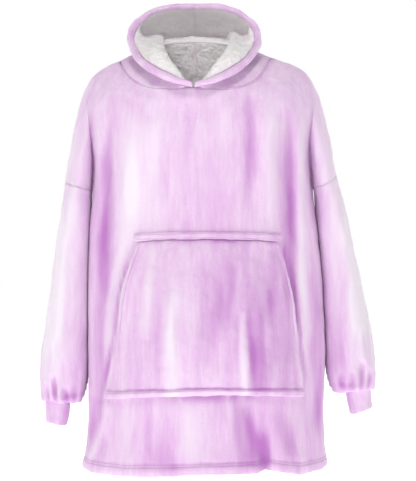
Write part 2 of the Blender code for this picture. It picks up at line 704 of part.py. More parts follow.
# Hood
def neck_edge(side, front, back):
    """Neck seam of one half, from the front middle round to the back middle: places on the
    panels' outer edge, the outward normals there and the way up across the seam."""
    middle = ARM_STEPS + 1 + TORSO_STEPS
    total = 2 * middle + 1
    keep_front = [index for index in range(0, ARM_STEPS + 1, HOOD_SKIP)]
    keep_front += [ARM_STEPS + 1 + step for step in range(1, TORSO_STEPS)]
    rows = []
    for panel in (front, back):
        picked = keep_front if panel is front else keep_front + [middle]
        if side == "right":
            picked = [total - 1 - index for index in picked]
        rows.append([(panel["neck"][i], panel["neck_normals"][i], panel["neck_rise"][i])
                     for i in picked])
    line = rows[0][::-1] + rows[1][1:]
    return line


def hood_section(side, turn):
    """The stand, inner, crest, fall, wall and rim places of a hood half at a turn."""
    values = []
    for station in HOOD:
        places = np.array(station[1:7])
        if side == "right":
            places[1:3, 0] += station.right_out
            places[1:3, 2] += station.right_rise * np.array([0.4, 1.0])
        values.append(places)
    return curve([station.turn for station in HOOD], values, turn)


def hood_grid(side, front, back):
    """Places and outward normals of the hood half between its outer cloth and its lining."""
    line = neck_edge(side, front, back)
    line[-1] = tuple(np.array(vector) for vector in line[-1])
    sign = -1 if side == "left" else 1
    lengths = [0.0]
    for here, there in zip(line, line[1:]):
        lengths.append(lengths[-1] + float(np.linalg.norm(there[0] - here[0])))
    grid = []
    for length, (place, normal, rise) in zip(lengths, line):
        turn = length / lengths[-1]
        up = rise / np.linalg.norm(rise)
        seam = place + up * NECK_SEAM_GAP - normal * HOOD_OUTER_WALL
        section = hood_section(side, turn)
        places = [seam]
        for out, y, z in section:
            places.append(np.array([HOOD_MIDDLE_X + sign * out, y, z]))
        grid.append(rows_between(places))
    grid = np.array(grid)
    for _ in range(HOOD_EASING):
        grid[1:-1, 1:-1] = (grid[:-2, 1:-1] + 2 * grid[1:-1, 1:-1] + grid[2:, 1:-1]) / 4
        grid[1:-1, 1:-1] = (grid[1:-1, :-2] + 6 * grid[1:-1, 1:-1] + grid[1:-1, 2:]) / 8
    grid[-1, :, 0] = HOOD_MIDDLE_X + sign * MIDDLE_OF_SEAM
    return grid, np.array([entry[1] for entry in line])


def rows_between(places):
    """Points along the smooth curve through the places, as many between each two."""
    places = np.array(places)
    keys = np.concatenate([[0], np.cumsum(np.linalg.norm(np.diff(places, axis=0), axis=1))])
    stops = np.interp(np.arange(len(places) * HOOD_ROWS_EACH - HOOD_ROWS_EACH + 1)
                      / HOOD_ROWS_EACH, np.arange(len(places)), keys)
    return [curve(keys, places, stop) for stop in stops]


def hood_half(side, front, back, plush, sherpa):
    grid, seam_normals = hood_grid(side, front, back)
    normals = grid_normals(grid)
    reference = np.array([0.0, 1.0, 0.3])
    if np.dot(normals[-1, grid.shape[1] * 2 // 3], reference) < 0:
        normals = -normals
    for _ in range(NORMAL_SMOOTHING):
        normals[:, 0] = seam_normals
        normals[:, 1:-1] = (normals[:, :-2] + 2 * normals[:, 1:-1] + normals[:, 2:]) / 4
        normals[1:-1] = (normals[:-2] + 2 * normals[1:-1] + normals[2:]) / 4
        normals /= np.linalg.norm(normals, axis=2, keepdims=True)
    normals[:, 0] = seam_normals
    normals[-1, :, 0] = 0.0
    normals /= np.linalg.norm(normals, axis=2, keepdims=True)
    quads = grid_quads(grid.shape[0], grid.shape[1])
    outside = grid + normals * HOOD_OUTER_WALL
    wall_between(f"hood_{side}", list(outside.reshape(-1, 3)), list(grid.reshape(-1, 3)),
                 quads, plush)
    near = grid - normals * SEAM_GAP
    far = grid - normals * (SEAM_GAP + HOOD_LINING_WALL)
    wall_between(f"hood_lining_{side}", list(near.reshape(-1, 3)), list(far.reshape(-1, 3)),
                 quads, sherpa)
    hood_rim(side, grid, normals, plush)


def evened(vectors):
    """Unit vectors along an edge, each drawn towards its neighbours."""
    for _ in range(RIM_SMOOTHING):
        vectors = vectors / np.linalg.norm(vectors, axis=1, keepdims=True)
        vectors[1:-1] = (vectors[:-2] + 2 * vectors[1:-1] + vectors[2:]) / 4
    return vectors / np.linalg.norm(vectors, axis=1, keepdims=True)


def hood_rim(side, grid, normals, finish):
    """Rolled hem of one half of the hood, a soft oval tube beyond the cloth's edge."""
    edge = grid[:, -1]
    ahead = evened(edge - grid[:, -2])
    along = np.gradient(edge, axis=0)
    along /= np.linalg.norm(along, axis=1, keepdims=True)
    along[-1] = (1.0 if side == "left" else -1.0, 0.0, 0.0)
    rings = []
    for index in range(len(edge)):
        wide = ahead[index] - along[index] * np.dot(ahead[index], along[index])
        wide /= np.linalg.norm(wide)
        thick = np.cross(along[index], wide)
        centre = edge[index] + normals[index, -1] * (HOOD_OUTER_WALL - HOOD_LINING_WALL) / 2
        centre = centre + wide * (RIM_HALF_WIDTH + RIM_GAP)
        ring = []
        for corner in range(RIM_SIDES):
            angle = 2 * math.pi * corner / RIM_SIDES
            ring.append(centre + wide * RIM_HALF_WIDTH * math.cos(angle)
                        + thick * RIM_HALF_THICKNESS * math.sin(angle))
        rings.append(ring)
    sign = -1 if side == "left" else 1
    end_centre = np.array([HOOD_MIDDLE_X + sign * RIM_END[0], *RIM_END[1:]])
    end_ring = [end_centre + (point - np.mean(rings[0], axis=0)) * RIM_END_SHARE
                for point in rings[0]]
    for point in end_ring:
        point[0] = end_centre[0]
    rings = np.array([end_ring] + rings)
    rings[-1, :, 0] = HOOD_MIDDLE_X + sign * MIDDLE_OF_SEAM
    count = len(rings)
    points = list(rings.reshape(-1, 3))
    faces = grid_quads(count, RIM_SIDES, closed=True)
    faces.append(list(range(RIM_SIDES)))
    faces.append([(count - 1) * RIM_SIDES + corner for corner in reversed(range(RIM_SIDES))])
    add_object(f"hood_rim_{side}", points, faces, finish)


# Pocket
def pocket_side(which, z):
    """Side edge of the pocket at a height: which is 0 for the left and 1 for the right."""
    heights, places = zip(*POCKET_EDGES[which])
    return float(np.interp(z, heights, places))


def pocket_place(across, down):
    """Place on the front behind the pocket: across and down run from 0 to 1."""
    arch = POCKET_ARCH * math.sin(math.pi * across)
    bottom = POCKET_BOTTOM_Z[0] + (POCKET_BOTTOM_Z[1] - POCKET_BOTTOM_Z[0]) * across + arch
    z = POCKET_TOP_Z + (bottom - POCKET_TOP_Z) * down
    left, right = pocket_side(0, z), pocket_side(1, z)
    return left + (right - left) * across, z


def pocket_lift(across, down):
    """Hollow between the front and the pocket."""
    which = 0 if across < 0.5 else 1
    edge = min(across, 1 - across)
    opening = (OPENING_END_Z[which] - POCKET_TOP_Z) / (POCKET_BOTTOM_Z[which] - POCKET_TOP_Z)
    gape = OPENING_GAPE * math.sin(math.pi * min(down / opening, 1.0)) ** 0.7 \
        if down < opening else 0.0
    height = math.sin(math.pi * min(down, 1.0)) ** 0.6
    spread = gape + (1 - gape) * smooth_step(edge / 0.28)
    return MIDDLE_OF_SEAM * 2 + POCKET_BULGE * height * spread


def pocket(front, finish):
    hem_share = POCKET_HEM_HEIGHT / (POCKET_TOP_Z - POCKET_BOTTOM_Z[0])
    downs = [step / POCKET_LEVELS * (1 - hem_share) for step in range(POCKET_LEVELS + 1)]
    downs += [1 - hem_share * 0.85, 1 - hem_share * 0.4, 1.0]
    inner, walls = [], []
    for down in downs:
        for step in range(POCKET_COLUMNS + 1):
            across = step / POCKET_COLUMNS
            x, z = pocket_place(across, down)
            lift = pocket_lift(across, down)
            edge = min(across, 1 - across)
            rise = fold_rise(POCKET_FOLDS, x, z) * smooth_step(edge / 0.1)
            rise *= smooth_step((1 - down) / 0.1 + 0.45)
            y = surface_y(front["surface"], x, z) - lift - max(rise, -lift * 0.6)
            inner.append((x, y, z))
            in_hem = down > 1 - hem_share * 0.9
            walls.append(POCKET_WALL + (POCKET_HEM_EXTRA if in_hem else 0.0))
    shape = (len(downs), POCKET_COLUMNS + 1)
    inner = laid_on(np.array(inner).reshape(*shape, 3), front["surface"])
    outer = inner.copy()
    outer[:, :, 1] -= np.array(walls).reshape(shape)
    wall_between("pocket", list(outer.reshape(-1, 3)), list(inner.reshape(-1, 3)),
                 grid_quads(*shape), finish)


def pocket_top_band(front, finish):
    """Turned and stitched top edge of the pocket, standing proud across the front."""
    base = []
    for high in (0.0, 1.0):
        for step in range(POCKET_COLUMNS + 1):
            across = step / POCKET_COLUMNS
            x, z = pocket_place(across, 0.0)
            x += (across - 0.5) * 2 * BAND_OVERHANG
            z += SEAM_GAP + BAND_HEIGHT * high
            base.append((x, surface_y(front["surface"], x, z), z))
    base = laid_on(np.array(base).reshape(2, POCKET_COLUMNS + 1, 3), front["surface"])
    points = []
    for low, top in zip(base[0], base[1]):
        for corner in range(BAND_SIDES):
            angle = 2 * math.pi * (corner + 0.5) / BAND_SIDES
            high = math.copysign(abs(math.sin(angle)) ** 0.6, math.sin(angle))
            deep = math.copysign(abs(math.cos(angle)) ** 0.8, math.cos(angle))
            place = low + (top - low) * (1 + high) / 2
            points.append(place + np.array([0.0, (deep - 1) * BAND_THICKNESS / 2, 0.0]))
    faces = grid_quads(POCKET_COLUMNS + 1, BAND_SIDES, closed=True)
    faces.append(list(range(BAND_SIDES)))
    faces.append([POCKET_COLUMNS * BAND_SIDES + corner for corner in reversed(range(BAND_SIDES))])
    add_object("pocket_top_band", points, faces, finish)


# Lining of the upper back
def back_lining(side, back, finish):
    """Half of the sherpa that shows inside the back of the neck, laid on the back panel."""
    chest, normals = back["grids"][1], back["normals"][1]
    middle = TORSO_STEPS
    first = middle - LINING_COLUMNS if side == "left" else middle
    columns = slice(first, first + LINING_COLUMNS + 1)
    places = chest[:LINING_ROWS + 1, columns].copy()
    inward = normals[:LINING_ROWS + 1, columns]
    places[0] += (places[1] - places[0]) * LINING_TOP_SHARE
    if side == "left":
        places[:, -1, 0] -= MIDDLE_OF_SEAM
    else:
        places[:, 0, 0] += MIDDLE_OF_SEAM
    near = places - inward * (WALL + SEAM_GAP)
    far = places - inward * (WALL + SEAM_GAP + LINING_WALL)
    quads = grid_quads(LINING_ROWS + 1, LINING_COLUMNS + 1)
    if side == "right":
        quads = mirrored(quads)
    wall_between(f"back_lining_{side}", list(near.reshape(-1, 3)), list(far.reshape(-1, 3)),
                 quads, finish)


def main():
    for old in list(bpy.data.objects):
        bpy.data.objects.remove(old, do_unlink=True)
    plush = material("plush", COLOURS["plush"], PLUSH_ROUGHNESS)
    sherpa = material("sherpa", COLOURS["sherpa"], SHERPA_ROUGHNESS)
    front = body_panel("front", "front", plush)
    back = body_panel("back", "back", plush)
    for side in ("left", "right"):
        sleeve(side, front, back, plush)
        cuff(side, plush)
        hood_half(side, front, back, plush, sherpa)
        back_lining(side, back, sherpa)
    pocket(front, plush)
    pocket_top_band(front, plush)


main()
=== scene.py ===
import math
from collections import namedtuple

import bmesh
import bpy
import numpy as np
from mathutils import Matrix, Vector, noise
from mathutils.bvhtree import BVHTree


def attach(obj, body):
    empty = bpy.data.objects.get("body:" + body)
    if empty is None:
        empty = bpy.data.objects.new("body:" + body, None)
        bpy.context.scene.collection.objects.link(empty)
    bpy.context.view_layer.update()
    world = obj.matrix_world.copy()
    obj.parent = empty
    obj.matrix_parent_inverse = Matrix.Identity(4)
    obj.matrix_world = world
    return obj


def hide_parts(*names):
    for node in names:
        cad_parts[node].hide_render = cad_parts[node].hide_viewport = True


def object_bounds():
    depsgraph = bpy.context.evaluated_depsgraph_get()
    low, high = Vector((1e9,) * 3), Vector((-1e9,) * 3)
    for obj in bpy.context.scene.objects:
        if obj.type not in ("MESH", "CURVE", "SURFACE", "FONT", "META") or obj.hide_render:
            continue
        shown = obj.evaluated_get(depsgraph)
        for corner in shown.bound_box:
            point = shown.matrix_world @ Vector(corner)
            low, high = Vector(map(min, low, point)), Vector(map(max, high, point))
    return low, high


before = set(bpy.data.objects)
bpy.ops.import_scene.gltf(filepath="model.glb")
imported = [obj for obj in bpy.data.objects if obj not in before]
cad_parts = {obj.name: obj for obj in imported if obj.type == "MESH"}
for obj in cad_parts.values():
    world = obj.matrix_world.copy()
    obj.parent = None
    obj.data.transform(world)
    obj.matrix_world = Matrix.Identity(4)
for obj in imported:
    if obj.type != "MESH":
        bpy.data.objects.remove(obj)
cad_low, cad_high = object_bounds()

# Camera, light and floor: a level view from the front with a long lens, soft lamps above, in
# front, behind and at the left, a weak one at the right, and a floor that runs off into white.
CAMERA_DISTANCE = 3.2
VIEW_MIDDLE_X = 0.0105
VIEW_MIDDLE_Z = -0.375
SENSOR_LONG_SIDE = 36.0
VIEW_HEIGHT = 1.010
camera_data = bpy.data.cameras.new("camera")
camera_data.sensor_width = SENSOR_LONG_SIDE
camera_data.lens = SENSOR_LONG_SIDE * CAMERA_DISTANCE / VIEW_HEIGHT
camera = bpy.data.objects.new("camera", camera_data)
camera.location = (VIEW_MIDDLE_X, -CAMERA_DISTANCE, VIEW_MIDDLE_Z)
camera.rotation_euler = (math.radians(90), 0, 0)
bpy.context.scene.collection.objects.link(camera)
bpy.context.scene.camera = camera
bpy.context.scene.view_settings.view_transform = "Standard"

Lamp = namedtuple("Lamp", "name place size power colour")
LAMPS = [
    Lamp("key", (-2.3, -1.6, 0.9), 1.1, 7.0, (1.0, 0.99, 0.985)),
    Lamp("fill", (2.3, -1.5, 0.4), 1.4, 1.5, (1.0, 0.985, 1.0)),
    Lamp("front_top", (0.0, -1.1, 1.7), 0.7, 18.0, (1.0, 0.985, 0.98)),
    Lamp("front", (-0.25, -3.3, -0.5), 0.5, 20.0, (1.0, 0.985, 0.98)),
    Lamp("back_left", (-1.8, 1.6, 0.8), 1.4, 20.0, (1.0, 1.0, 1.0)),
    Lamp("back_right", (1.8, 1.6, 0.8), 1.4, 20.0, (1.0, 1.0, 1.0)),
]
LAMP_TARGET = Vector((0.0, 0.0, -0.35))
for lamp in LAMPS:
    lamp_data = bpy.data.lights.new(lamp.name, "AREA")
    lamp_data.shape = "DISK"
    lamp_data.size = lamp.size
    lamp_data.energy = lamp.power
    lamp_data.color = lamp.colour
    lamp_object = bpy.data.objects.new(lamp.name, lamp_data)
    lamp_object.location = lamp.place
    towards = LAMP_TARGET - lamp_object.location
    lamp_object.rotation_euler = towards.to_track_quat("-Z", "Y").to_euler()
    bpy.context.scene.collection.objects.link(lamp_object)

WORLD_LIGHT = 0.22
world = bpy.data.worlds.new("studio")
world.use_nodes = True
world_nodes = world.node_tree.nodes
world_links = world.node_tree.links
seen_white = world_nodes.new("ShaderNodeBackground")
seen_white.inputs["Color"].default_value = (1.0, 1.0, 1.0, 1.0)
seen_white.inputs["Strength"].default_value = 1.0
soft_light = world_nodes["Background"]
soft_light.inputs["Color"].default_value = (1.0, 1.0, 1.0, 1.0)
soft_light.inputs["Strength"].default_value = WORLD_LIGHT
light_path = world_nodes.new("ShaderNodeLightPath")
world_mix = world_nodes.new("ShaderNodeMixShader")
world_links.new(light_path.outputs["Is Camera Ray"], world_mix.inputs[0])
world_links.new(soft_light.outputs[0], world_mix.inputs[1])
world_links.new(seen_white.outputs[0], world_mix.inputs[2])
world_links.new(world_mix.outputs[0], world_nodes["World Output"].inputs["Surface"])
bpy.context.scene.world = world

FLOOR_RADIUS = 14.0
FLOOR_DROP = 0.004
bpy.ops.object.select_all(action="DESELECT")
bpy.ops.mesh.primitive_circle_add(vertices=96, radius=FLOOR_RADIUS, fill_type="NGON",
                                  location=(0, 0, cad_low.z - FLOOR_DROP))
floor = bpy.context.object
floor.name = "floor"
floor_paint = bpy.data.materials.new("floor_paint")
floor_paint.use_nodes = True
floor_shader = floor_paint.node_tree.nodes["Principled BSDF"]
floor_shader.inputs["Base Color"].default_value = (0.97, 0.97, 0.97, 1.0)
floor_shader.inputs["Roughness"].default_value = 1.0
floor_shader.inputs["Specular IOR Level"].default_value = 0.0
floor_shader.inputs["Emission Color"].default_value = (1.0, 1.0, 1.0, 1.0)
floor_shader.inputs["Emission Strength"].default_value = 0.79
floor.data.materials.append(floor_paint)

# Body: front and back panels of plush with sherpa inside, cut in one with the upper arms, sewn
# at the shoulders and sides. Each is a thin shell on its solid's form with the main creases
# pressed in, and a nap that lies in soft upright streaks.
# Each cloth has a painted highlight colour for its ridges and tuft tops, two nap colours mixed by
# random mottle, and a painted shade colour for its creases, hollows, seams and the gaps between
# tufts.
PLUSH_PAINTED_HIGHLIGHT = (0.900, 0.810, 0.915)
PLUSH_LIGHT = (0.840, 0.645, 0.850)
PLUSH_SHADE = (0.745, 0.470, 0.765)
PLUSH_PAINTED_SHADE = (0.520, 0.205, 0.560)
PLUSH_THREAD = (0.560, 0.330, 0.590)
SHERPA_PAINTED_HIGHLIGHT = (0.990, 0.965, 0.972)
SHERPA_LIGHT = (0.980, 0.945, 0.955)
SHERPA_SHADE = (0.955, 0.910, 0.922)
SHERPA_PAINTED_SHADE = (0.830, 0.775, 0.790)
STREAK_SCALE = (34.0, 34.0, 5.0)
FIBRE_SCALE = (150.0, 150.0, 24.0)
SHERPA_TUFTS = (60.0, 60.0, 60.0)
SHERPA_FIBRES = (160.0, 160.0, 160.0)
FIBRE_SHARE = 0.55
CLUMP_SHARE = 0.45
PILE_SHARE = 0.6
MERGE_DISTANCE = 0.00002
SQUARE_ANGLE = math.radians(55)
CAVITY_ROUNDS = 60
CAVITY_DEPTH = 0.0030
EVEN_ROUNDS = 14
CAVITY_MOST = 0.8
# Painted shade and highlight: how much hollows and creases get, and the darkest allowed. The mottle
# tint is random nap tone.
CAVITY_PAINTED_LIGHT = 0.28
CREASE_PAINTED_SHADE = 0.45
MOTTLE_TINT = 0.12
MOST_PAINTED_SHADE = 0.95
DEEPEST_CREASE = 0.010
SIDE_EASING = 0.03
BAND_WRAP = 0.02
NAP_UNEVEN = 0.9
MOTTLE_ACROSS = 60.0
MOTTLE_ALONG = 9.0
SWAY_SHIFT = Vector((1.0, 5.0, 0.0))
SWAY_SIZE = 0.0011
SWAY_SLOW = 22.0
SWAY_SLOW_SHARE = 1.7
SWAY_QUICK = 60.0
PILE_SIZE = 0.0005
PILE_TURNS = 190.0
SWAY_SEED = 1
noise.seed_set(SWAY_SEED)


def noise_texture(tree, source, scale, detail, roughness):
    """A noise texture read at the places that come from source."""
    texture = tree.nodes.new("ShaderNodeTexNoise")
    texture.inputs["Scale"].default_value = scale
    texture.inputs["Detail"].default_value = detail
    texture.inputs["Roughness"].default_value = roughness
    tree.links.new(source, texture.inputs["Vector"])
    return texture.outputs["Fac"]


def stretched(tree, source, scale):
    """Places from source, scaled by its own amount along each axis."""
    mapping = tree.nodes.new("ShaderNodeMapping")
    mapping.inputs["Scale"].default_value = scale
    tree.links.new(source, mapping.inputs["Vector"])
    return mapping.outputs["Vector"]


def scaled_sum(tree, part, share, rest):
    """The value part times share, added to rest."""
    total = tree.nodes.new("ShaderNodeMath")
    total.operation = "MULTIPLY_ADD"
    total.inputs[1].default_value = share
    tree.links.new(part, total.inputs[0])
    tree.links.new(rest, total.inputs[2])
    return total.outputs[0]


def blend(tree, amount, under, over):
    """Mixes a colour over what is under it, where under is a colour or a socket."""
    mixed = tree.nodes.new("ShaderNodeMix")
    mixed.data_type = "RGBA"
    mixed.inputs["B"].default_value = (*over, 1.0)
    if isinstance(under, tuple):
        mixed.inputs["A"].default_value = (*under, 1.0)
    else:
        tree.links.new(under, mixed.inputs["A"])
    tree.links.new(amount, mixed.inputs["Factor"])
    return mixed.outputs["Result"]


def cloth_material(name, colours, streaks, fibres, clump_scale, pile_scale, pile_height, sheen):
    """Pile cloth: mottled nap in Object coordinates, painted shade down the folds and painted
    highlight on the ridges, soft sheen.
    """
    painted_highlight, light, shade, painted_shading = colours
    made = bpy.data.materials.new(name)
    made.use_nodes = True
    tree = made.node_tree
    shader = tree.nodes["Principled BSDF"]
    place = tree.nodes.new("ShaderNodeTexCoord").outputs["Object"]
    streak = noise_texture(tree, stretched(tree, place, streaks), 1.0, 2.0, 0.5)
    fibre = noise_texture(tree, stretched(tree, place, fibres), 1.0, 3.0, 0.6)
    clump = noise_texture(tree, place, clump_scale, 5.0, 0.65)
    pile = noise_texture(tree, place, pile_scale, 3.0, 0.7)
    mottled = scaled_sum(tree, clump, CLUMP_SHARE, scaled_sum(tree, fibre, FIBRE_SHARE, streak))
    spread = tree.nodes.new("ShaderNodeMapRange")
    spread.inputs["From Min"].default_value = 0.80
    spread.inputs["From Max"].default_value = 1.20
    tree.links.new(mottled, spread.inputs["Value"])
    # A per-point attribute: painted shade where it is above zero, painted highlight where below.
    depth = tree.nodes.new("ShaderNodeAttribute")
    depth.attribute_name = "painted_shade_and_highlight"
    highlight_share = tree.nodes.new("ShaderNodeMapRange")
    highlight_share.inputs["From Min"].default_value = 0.0
    highlight_share.inputs["From Max"].default_value = -1.0
    highlight_share.inputs["To Min"].default_value = 0.0
    highlight_share.inputs["To Max"].default_value = 1.0
    tree.links.new(depth.outputs["Fac"], highlight_share.inputs["Value"])
    nap = blend(tree, spread.outputs["Result"], shade, light)
    with_painted_shade = blend(tree, depth.outputs["Fac"], nap, painted_shading)
    with_painted_highlight = blend(tree, highlight_share.outputs["Result"], with_painted_shade, painted_highlight)
    tree.links.new(with_painted_highlight, shader.inputs["Base Color"])
    bump = tree.nodes.new("ShaderNodeBump")
    bump.inputs["Strength"].default_value = 0.55
    bump.inputs["Distance"].default_value = pile_height
    tree.links.new(scaled_sum(tree, pile, PILE_SHARE, clump), bump.inputs["Height"])
    tree.links.new(bump.outputs["Normal"], shader.inputs["Normal"])
    shader.inputs["Roughness"].default_value = 0.92
    shader.inputs["Specular IOR Level"].default_value = 0.12
    shader.inputs["Sheen Weight"].default_value = sheen
    shader.inputs["Sheen Roughness"].default_value = 0.42
    shader.inputs["Sheen Tint"].default_value = (1.0, 0.97, 1.0, 1.0)
    shader.inputs["Subsurface Weight"].default_value = 0.18
    shader.inputs["Subsurface Radius"].default_value = (1.0, 0.6, 1.0)
    shader.inputs["Subsurface Scale"].default_value = 0.006
    return made


plush = cloth_material("plush_nap", (PLUSH_PAINTED_HIGHLIGHT, PLUSH_LIGHT, PLUSH_SHADE, PLUSH_PAINTED_SHADE),
                       STREAK_SCALE, FIBRE_SCALE, clump_scale=380.0, pile_scale=900.0,
                       pile_height=0.0016, sheen=0.30)
sherpa = cloth_material("sherpa_curl", (SHERPA_PAINTED_HIGHLIGHT, SHERPA_LIGHT, SHERPA_SHADE, SHERPA_PAINTED_SHADE),
                        SHERPA_TUFTS, SHERPA_FIBRES, clump_scale=300.0,
                        pile_scale=700.0, pile_height=0.003, sheen=0.75)


def cloth_copy(node, levels, seam=None, lined=None):
    """Smooth copy of a CAD node in plush. Edges of the wall stay square where seam(place) is
    true, and faces where lined(place, normal) is true are sherpa."""
    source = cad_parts[node]
    piece = source.copy()
    piece.data = source.data.copy()
    piece.name = f"{node}_cloth"
    piece.data.name = piece.name
    piece.parent = None
    for key in list(piece.keys()):
        del piece[key]
    bpy.context.scene.collection.objects.link(piece)
    bpy.ops.object.select_all(action="DESELECT")
    piece.select_set(True)
    bpy.context.view_layer.objects.active = piece
    bpy.ops.object.mode_set(mode="EDIT")
    bpy.ops.mesh.select_all(action="SELECT")
    bpy.ops.mesh.remove_doubles(threshold=MERGE_DISTANCE)
    bpy.ops.mesh.tris_convert_to_quads(face_threshold=math.radians(60),
                                       shape_threshold=math.radians(70))
    bpy.ops.object.mode_set(mode="OBJECT")
    piece.data.materials.clear()
    piece.data.materials.append(plush)
    piece.data.materials.append(sherpa)
    for face in piece.data.polygons:
        face.material_index = 1 if lined is not None and lined(face.center, face.normal) else 0
    if seam is not None:
        shell = bmesh.new()
        shell.from_mesh(piece.data)
        square = shell.edges.layers.float.new("crease_edge")
        for edge in shell.edges:
            middle = (edge.verts[0].co + edge.verts[1].co) / 2
            if edge.is_manifold and edge.calc_face_angle() > SQUARE_ANGLE and seam(middle):
                edge[square] = 1.0
        shell.to_mesh(piece.data)
        shell.free()
    smooth = piece.modifiers.new("smooth", "SUBSURF")
    smooth.levels = levels
    smooth.render_levels = levels
    bpy.ops.object.modifier_apply(modifier=smooth.name)
    bpy.ops.object.shade_smooth()
    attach(piece, "root")
    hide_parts(node)
    return piece


Crease = namedtuple("Crease", "x0 z0 x1 z1 bow width rise")
# A band of painted shade where its tint is above zero and painted highlight where below.
LightBand = namedtuple("LightBand", "x0 z0 x1 z1 bow width tint")


def crease_weight(crease, x, z):
    """How much of a crease is felt at places: 1 on its line, fading across and at its ends."""
    start = np.array([crease.x0, crease.z0])
    run = np.array([crease.x1, crease.z1]) - start
    length = np.hypot(*run)
    run = run / length
    along = ((x - start[0]) * run[0] + (z - start[1]) * run[1]) / length
    across = (x - start[0]) * run[1] - (z - start[1]) * run[0]
    inside = np.clip(along, 0.0, 1.0)
    across = across - crease.bow * np.sin(math.pi * inside)
    ends = np.sin(math.pi * inside) ** 0.7 * ((along > 0) & (along < 1))
    return np.exp(-((across / crease.width) ** 2)) * ends


def cavity(mesh, places, normals):
    """How far each place lies under its surroundings, positive in a fold and negative on top."""
    pairs = np.empty(len(mesh.edges) * 2, dtype=np.int64)
    mesh.edges.foreach_get("vertices", pairs)
    first, second = pairs.reshape(-1, 2).T
    count = len(places)
    meeting = np.bincount(first, minlength=count) + np.bincount(second, minlength=count)
    smooth = places.copy()
    for _ in range(CAVITY_ROUNDS):
        for axis in range(3):
            around = np.bincount(first, weights=smooth[second, axis], minlength=count)
            around += np.bincount(second, weights=smooth[first, axis], minlength=count)
            smooth[:, axis] = (smooth[:, axis] + around / meeting) / 2
    depth = ((smooth - places) * normals).sum(axis=1)
    for _ in range(EVEN_ROUNDS):
        around = np.bincount(first, weights=depth[second], minlength=count)
        around += np.bincount(second, weights=depth[first], minlength=count)
        depth = (depth + around / meeting) / 2
    return depth


def read_places(mesh):
    places = np.empty(len(mesh.vertices) * 3)
    mesh.vertices.foreach_get("co", places)
    return places.reshape(-1, 3)


def read_normals(mesh):
    normals = np.empty(len(mesh.vertices) * 3)
    mesh.vertex_normals.foreach_get("vector", normals)
    return normals.reshape(-1, 3)


def write_places(mesh, places):
    mesh.vertices.foreach_set("co", places.reshape(-1))
    mesh.update()


def write_painted_light(mesh, depth):
    """Stores the painted shade (above zero) and painted highlight (below zero), which the cloth
    materials turn into colour.
    """
    layer = mesh.attributes.new("painted_shade_and_highlight", "FLOAT", "POINT")
    layer.data.foreach_set("value", depth.astype(np.float32))


def sway(places, normals):
    """Moves places as an uneven, soft cloth lies. All pieces sway as one, so that seams and
    layers that touch stay together."""
    for index, normal in enumerate(normals):
        here = Vector(places[index])
        drift = noise.noise_vector(here * SWAY_SLOW + SWAY_SHIFT) * SWAY_SLOW_SHARE
        drift += noise.noise_vector(here * SWAY_QUICK - SWAY_SHIFT)
        places[index] += np.array(drift) * SWAY_SIZE
        places[index] += normal * noise.noise(here * PILE_TURNS) * PILE_SIZE


def press(piece, creases, facing, light_bands=()):
    """Presses creases into one side of a piece and gives the cloth an uneven, soft surface. It
    paints shade into the creases and hollows and highlight onto the ridges. Bands are strips of
    painted shade, or of painted highlight where their tint is below zero."""
    mesh = piece.data
    places = read_places(mesh)
    normals = read_normals(mesh)
    count = len(places)
    painted_shading = np.zeros(count)
    rise = np.zeros(count)
    on_side = np.clip(places[:, 1] * facing / SIDE_EASING, 0.0, 1.0)
    for crease in creases:
        felt = crease_weight(crease, places[:, 0], places[:, 2]) * on_side
        rise += crease.rise * felt
        # Creases pressed inwards get painted shade.
        if crease.rise < 0:
            painted_shading = np.maximum(painted_shading, felt * min(1.0, -crease.rise / DEEPEST_CREASE))
    band_shading = np.zeros(count)
    in_sight = np.clip((places[:, 1] * facing + BAND_WRAP) / SIDE_EASING, 0.0, 1.0)
    # Bands of painted shade and highlight, on the side that faces out.
    for band in light_bands:
        band_shading += band.tint * crease_weight(band, places[:, 0], places[:, 2]) * in_sight
    uneven = np.ones(count)
    places[:, 1] += facing * rise
    for index, (x, y, z) in enumerate(places):
        at = Vector((x * MOTTLE_ACROSS, y * MOTTLE_ACROSS, z * MOTTLE_ALONG))
        uneven[index] = 1.0 + noise.noise(at) * NAP_UNEVEN
    sway(places, normals)
    # Painted shade in hollows and painted highlight on tops.
    hollow = np.clip(cavity(mesh, places, normals) / CAVITY_DEPTH, -CAVITY_MOST, CAVITY_MOST)
    painted_shading = painted_shading * CREASE_PAINTED_SHADE + hollow * CAVITY_PAINTED_LIGHT
    painted_shading += band_shading * uneven + (uneven - 1.0) * MOTTLE_TINT
    write_painted_light(mesh, np.clip(painted_shading, -1.0, MOST_PAINTED_SHADE))
    write_places(mesh, places)


LEVEL_BAND = 0.012
FLANK_DEPTH = 0.075
FLANK_REACH = 0.03
FLANK_TOP = -0.285
FLANK_TOP_EASING = 0.06
FLANK_BOTTOM = -0.80
FLANK_BOTTOM_EASING = 0.08
FLANK_SHARE = 0.75
FLANK_PRESS = 0.0013
HEM_PLACES = [-0.26, -0.20, -0.12, -0.055, -0.005, 0.113, 0.121, 0.1385, 0.158, 0.193, 0.256]
HEM_RISES = [0.002, 0.000, 0.000, 0.002, 0.006, 0.006, 0.013, 0.011, 0.008, 0.001, 0.004]
BACK_HEM_WAVE = 0.003
BACK_HEM_TURNS = 26.0
BACK_HEM_START = 0.6
HEM_WAVE_TOP = -0.74
HEM_WAVE_HEIGHT = 0.09
HEM_SIDE_EASING = 0.04


def level_edges(places, sign):
    """How far a piece reaches to one side at each place's height."""
    low = places[:, 2].min()
    band = ((places[:, 2] - low) / LEVEL_BAND).astype(int)
    reach = np.full(band.max() + 1, -1.0)
    np.maximum.at(reach, band, places[:, 0] * sign)
    return reach[band]


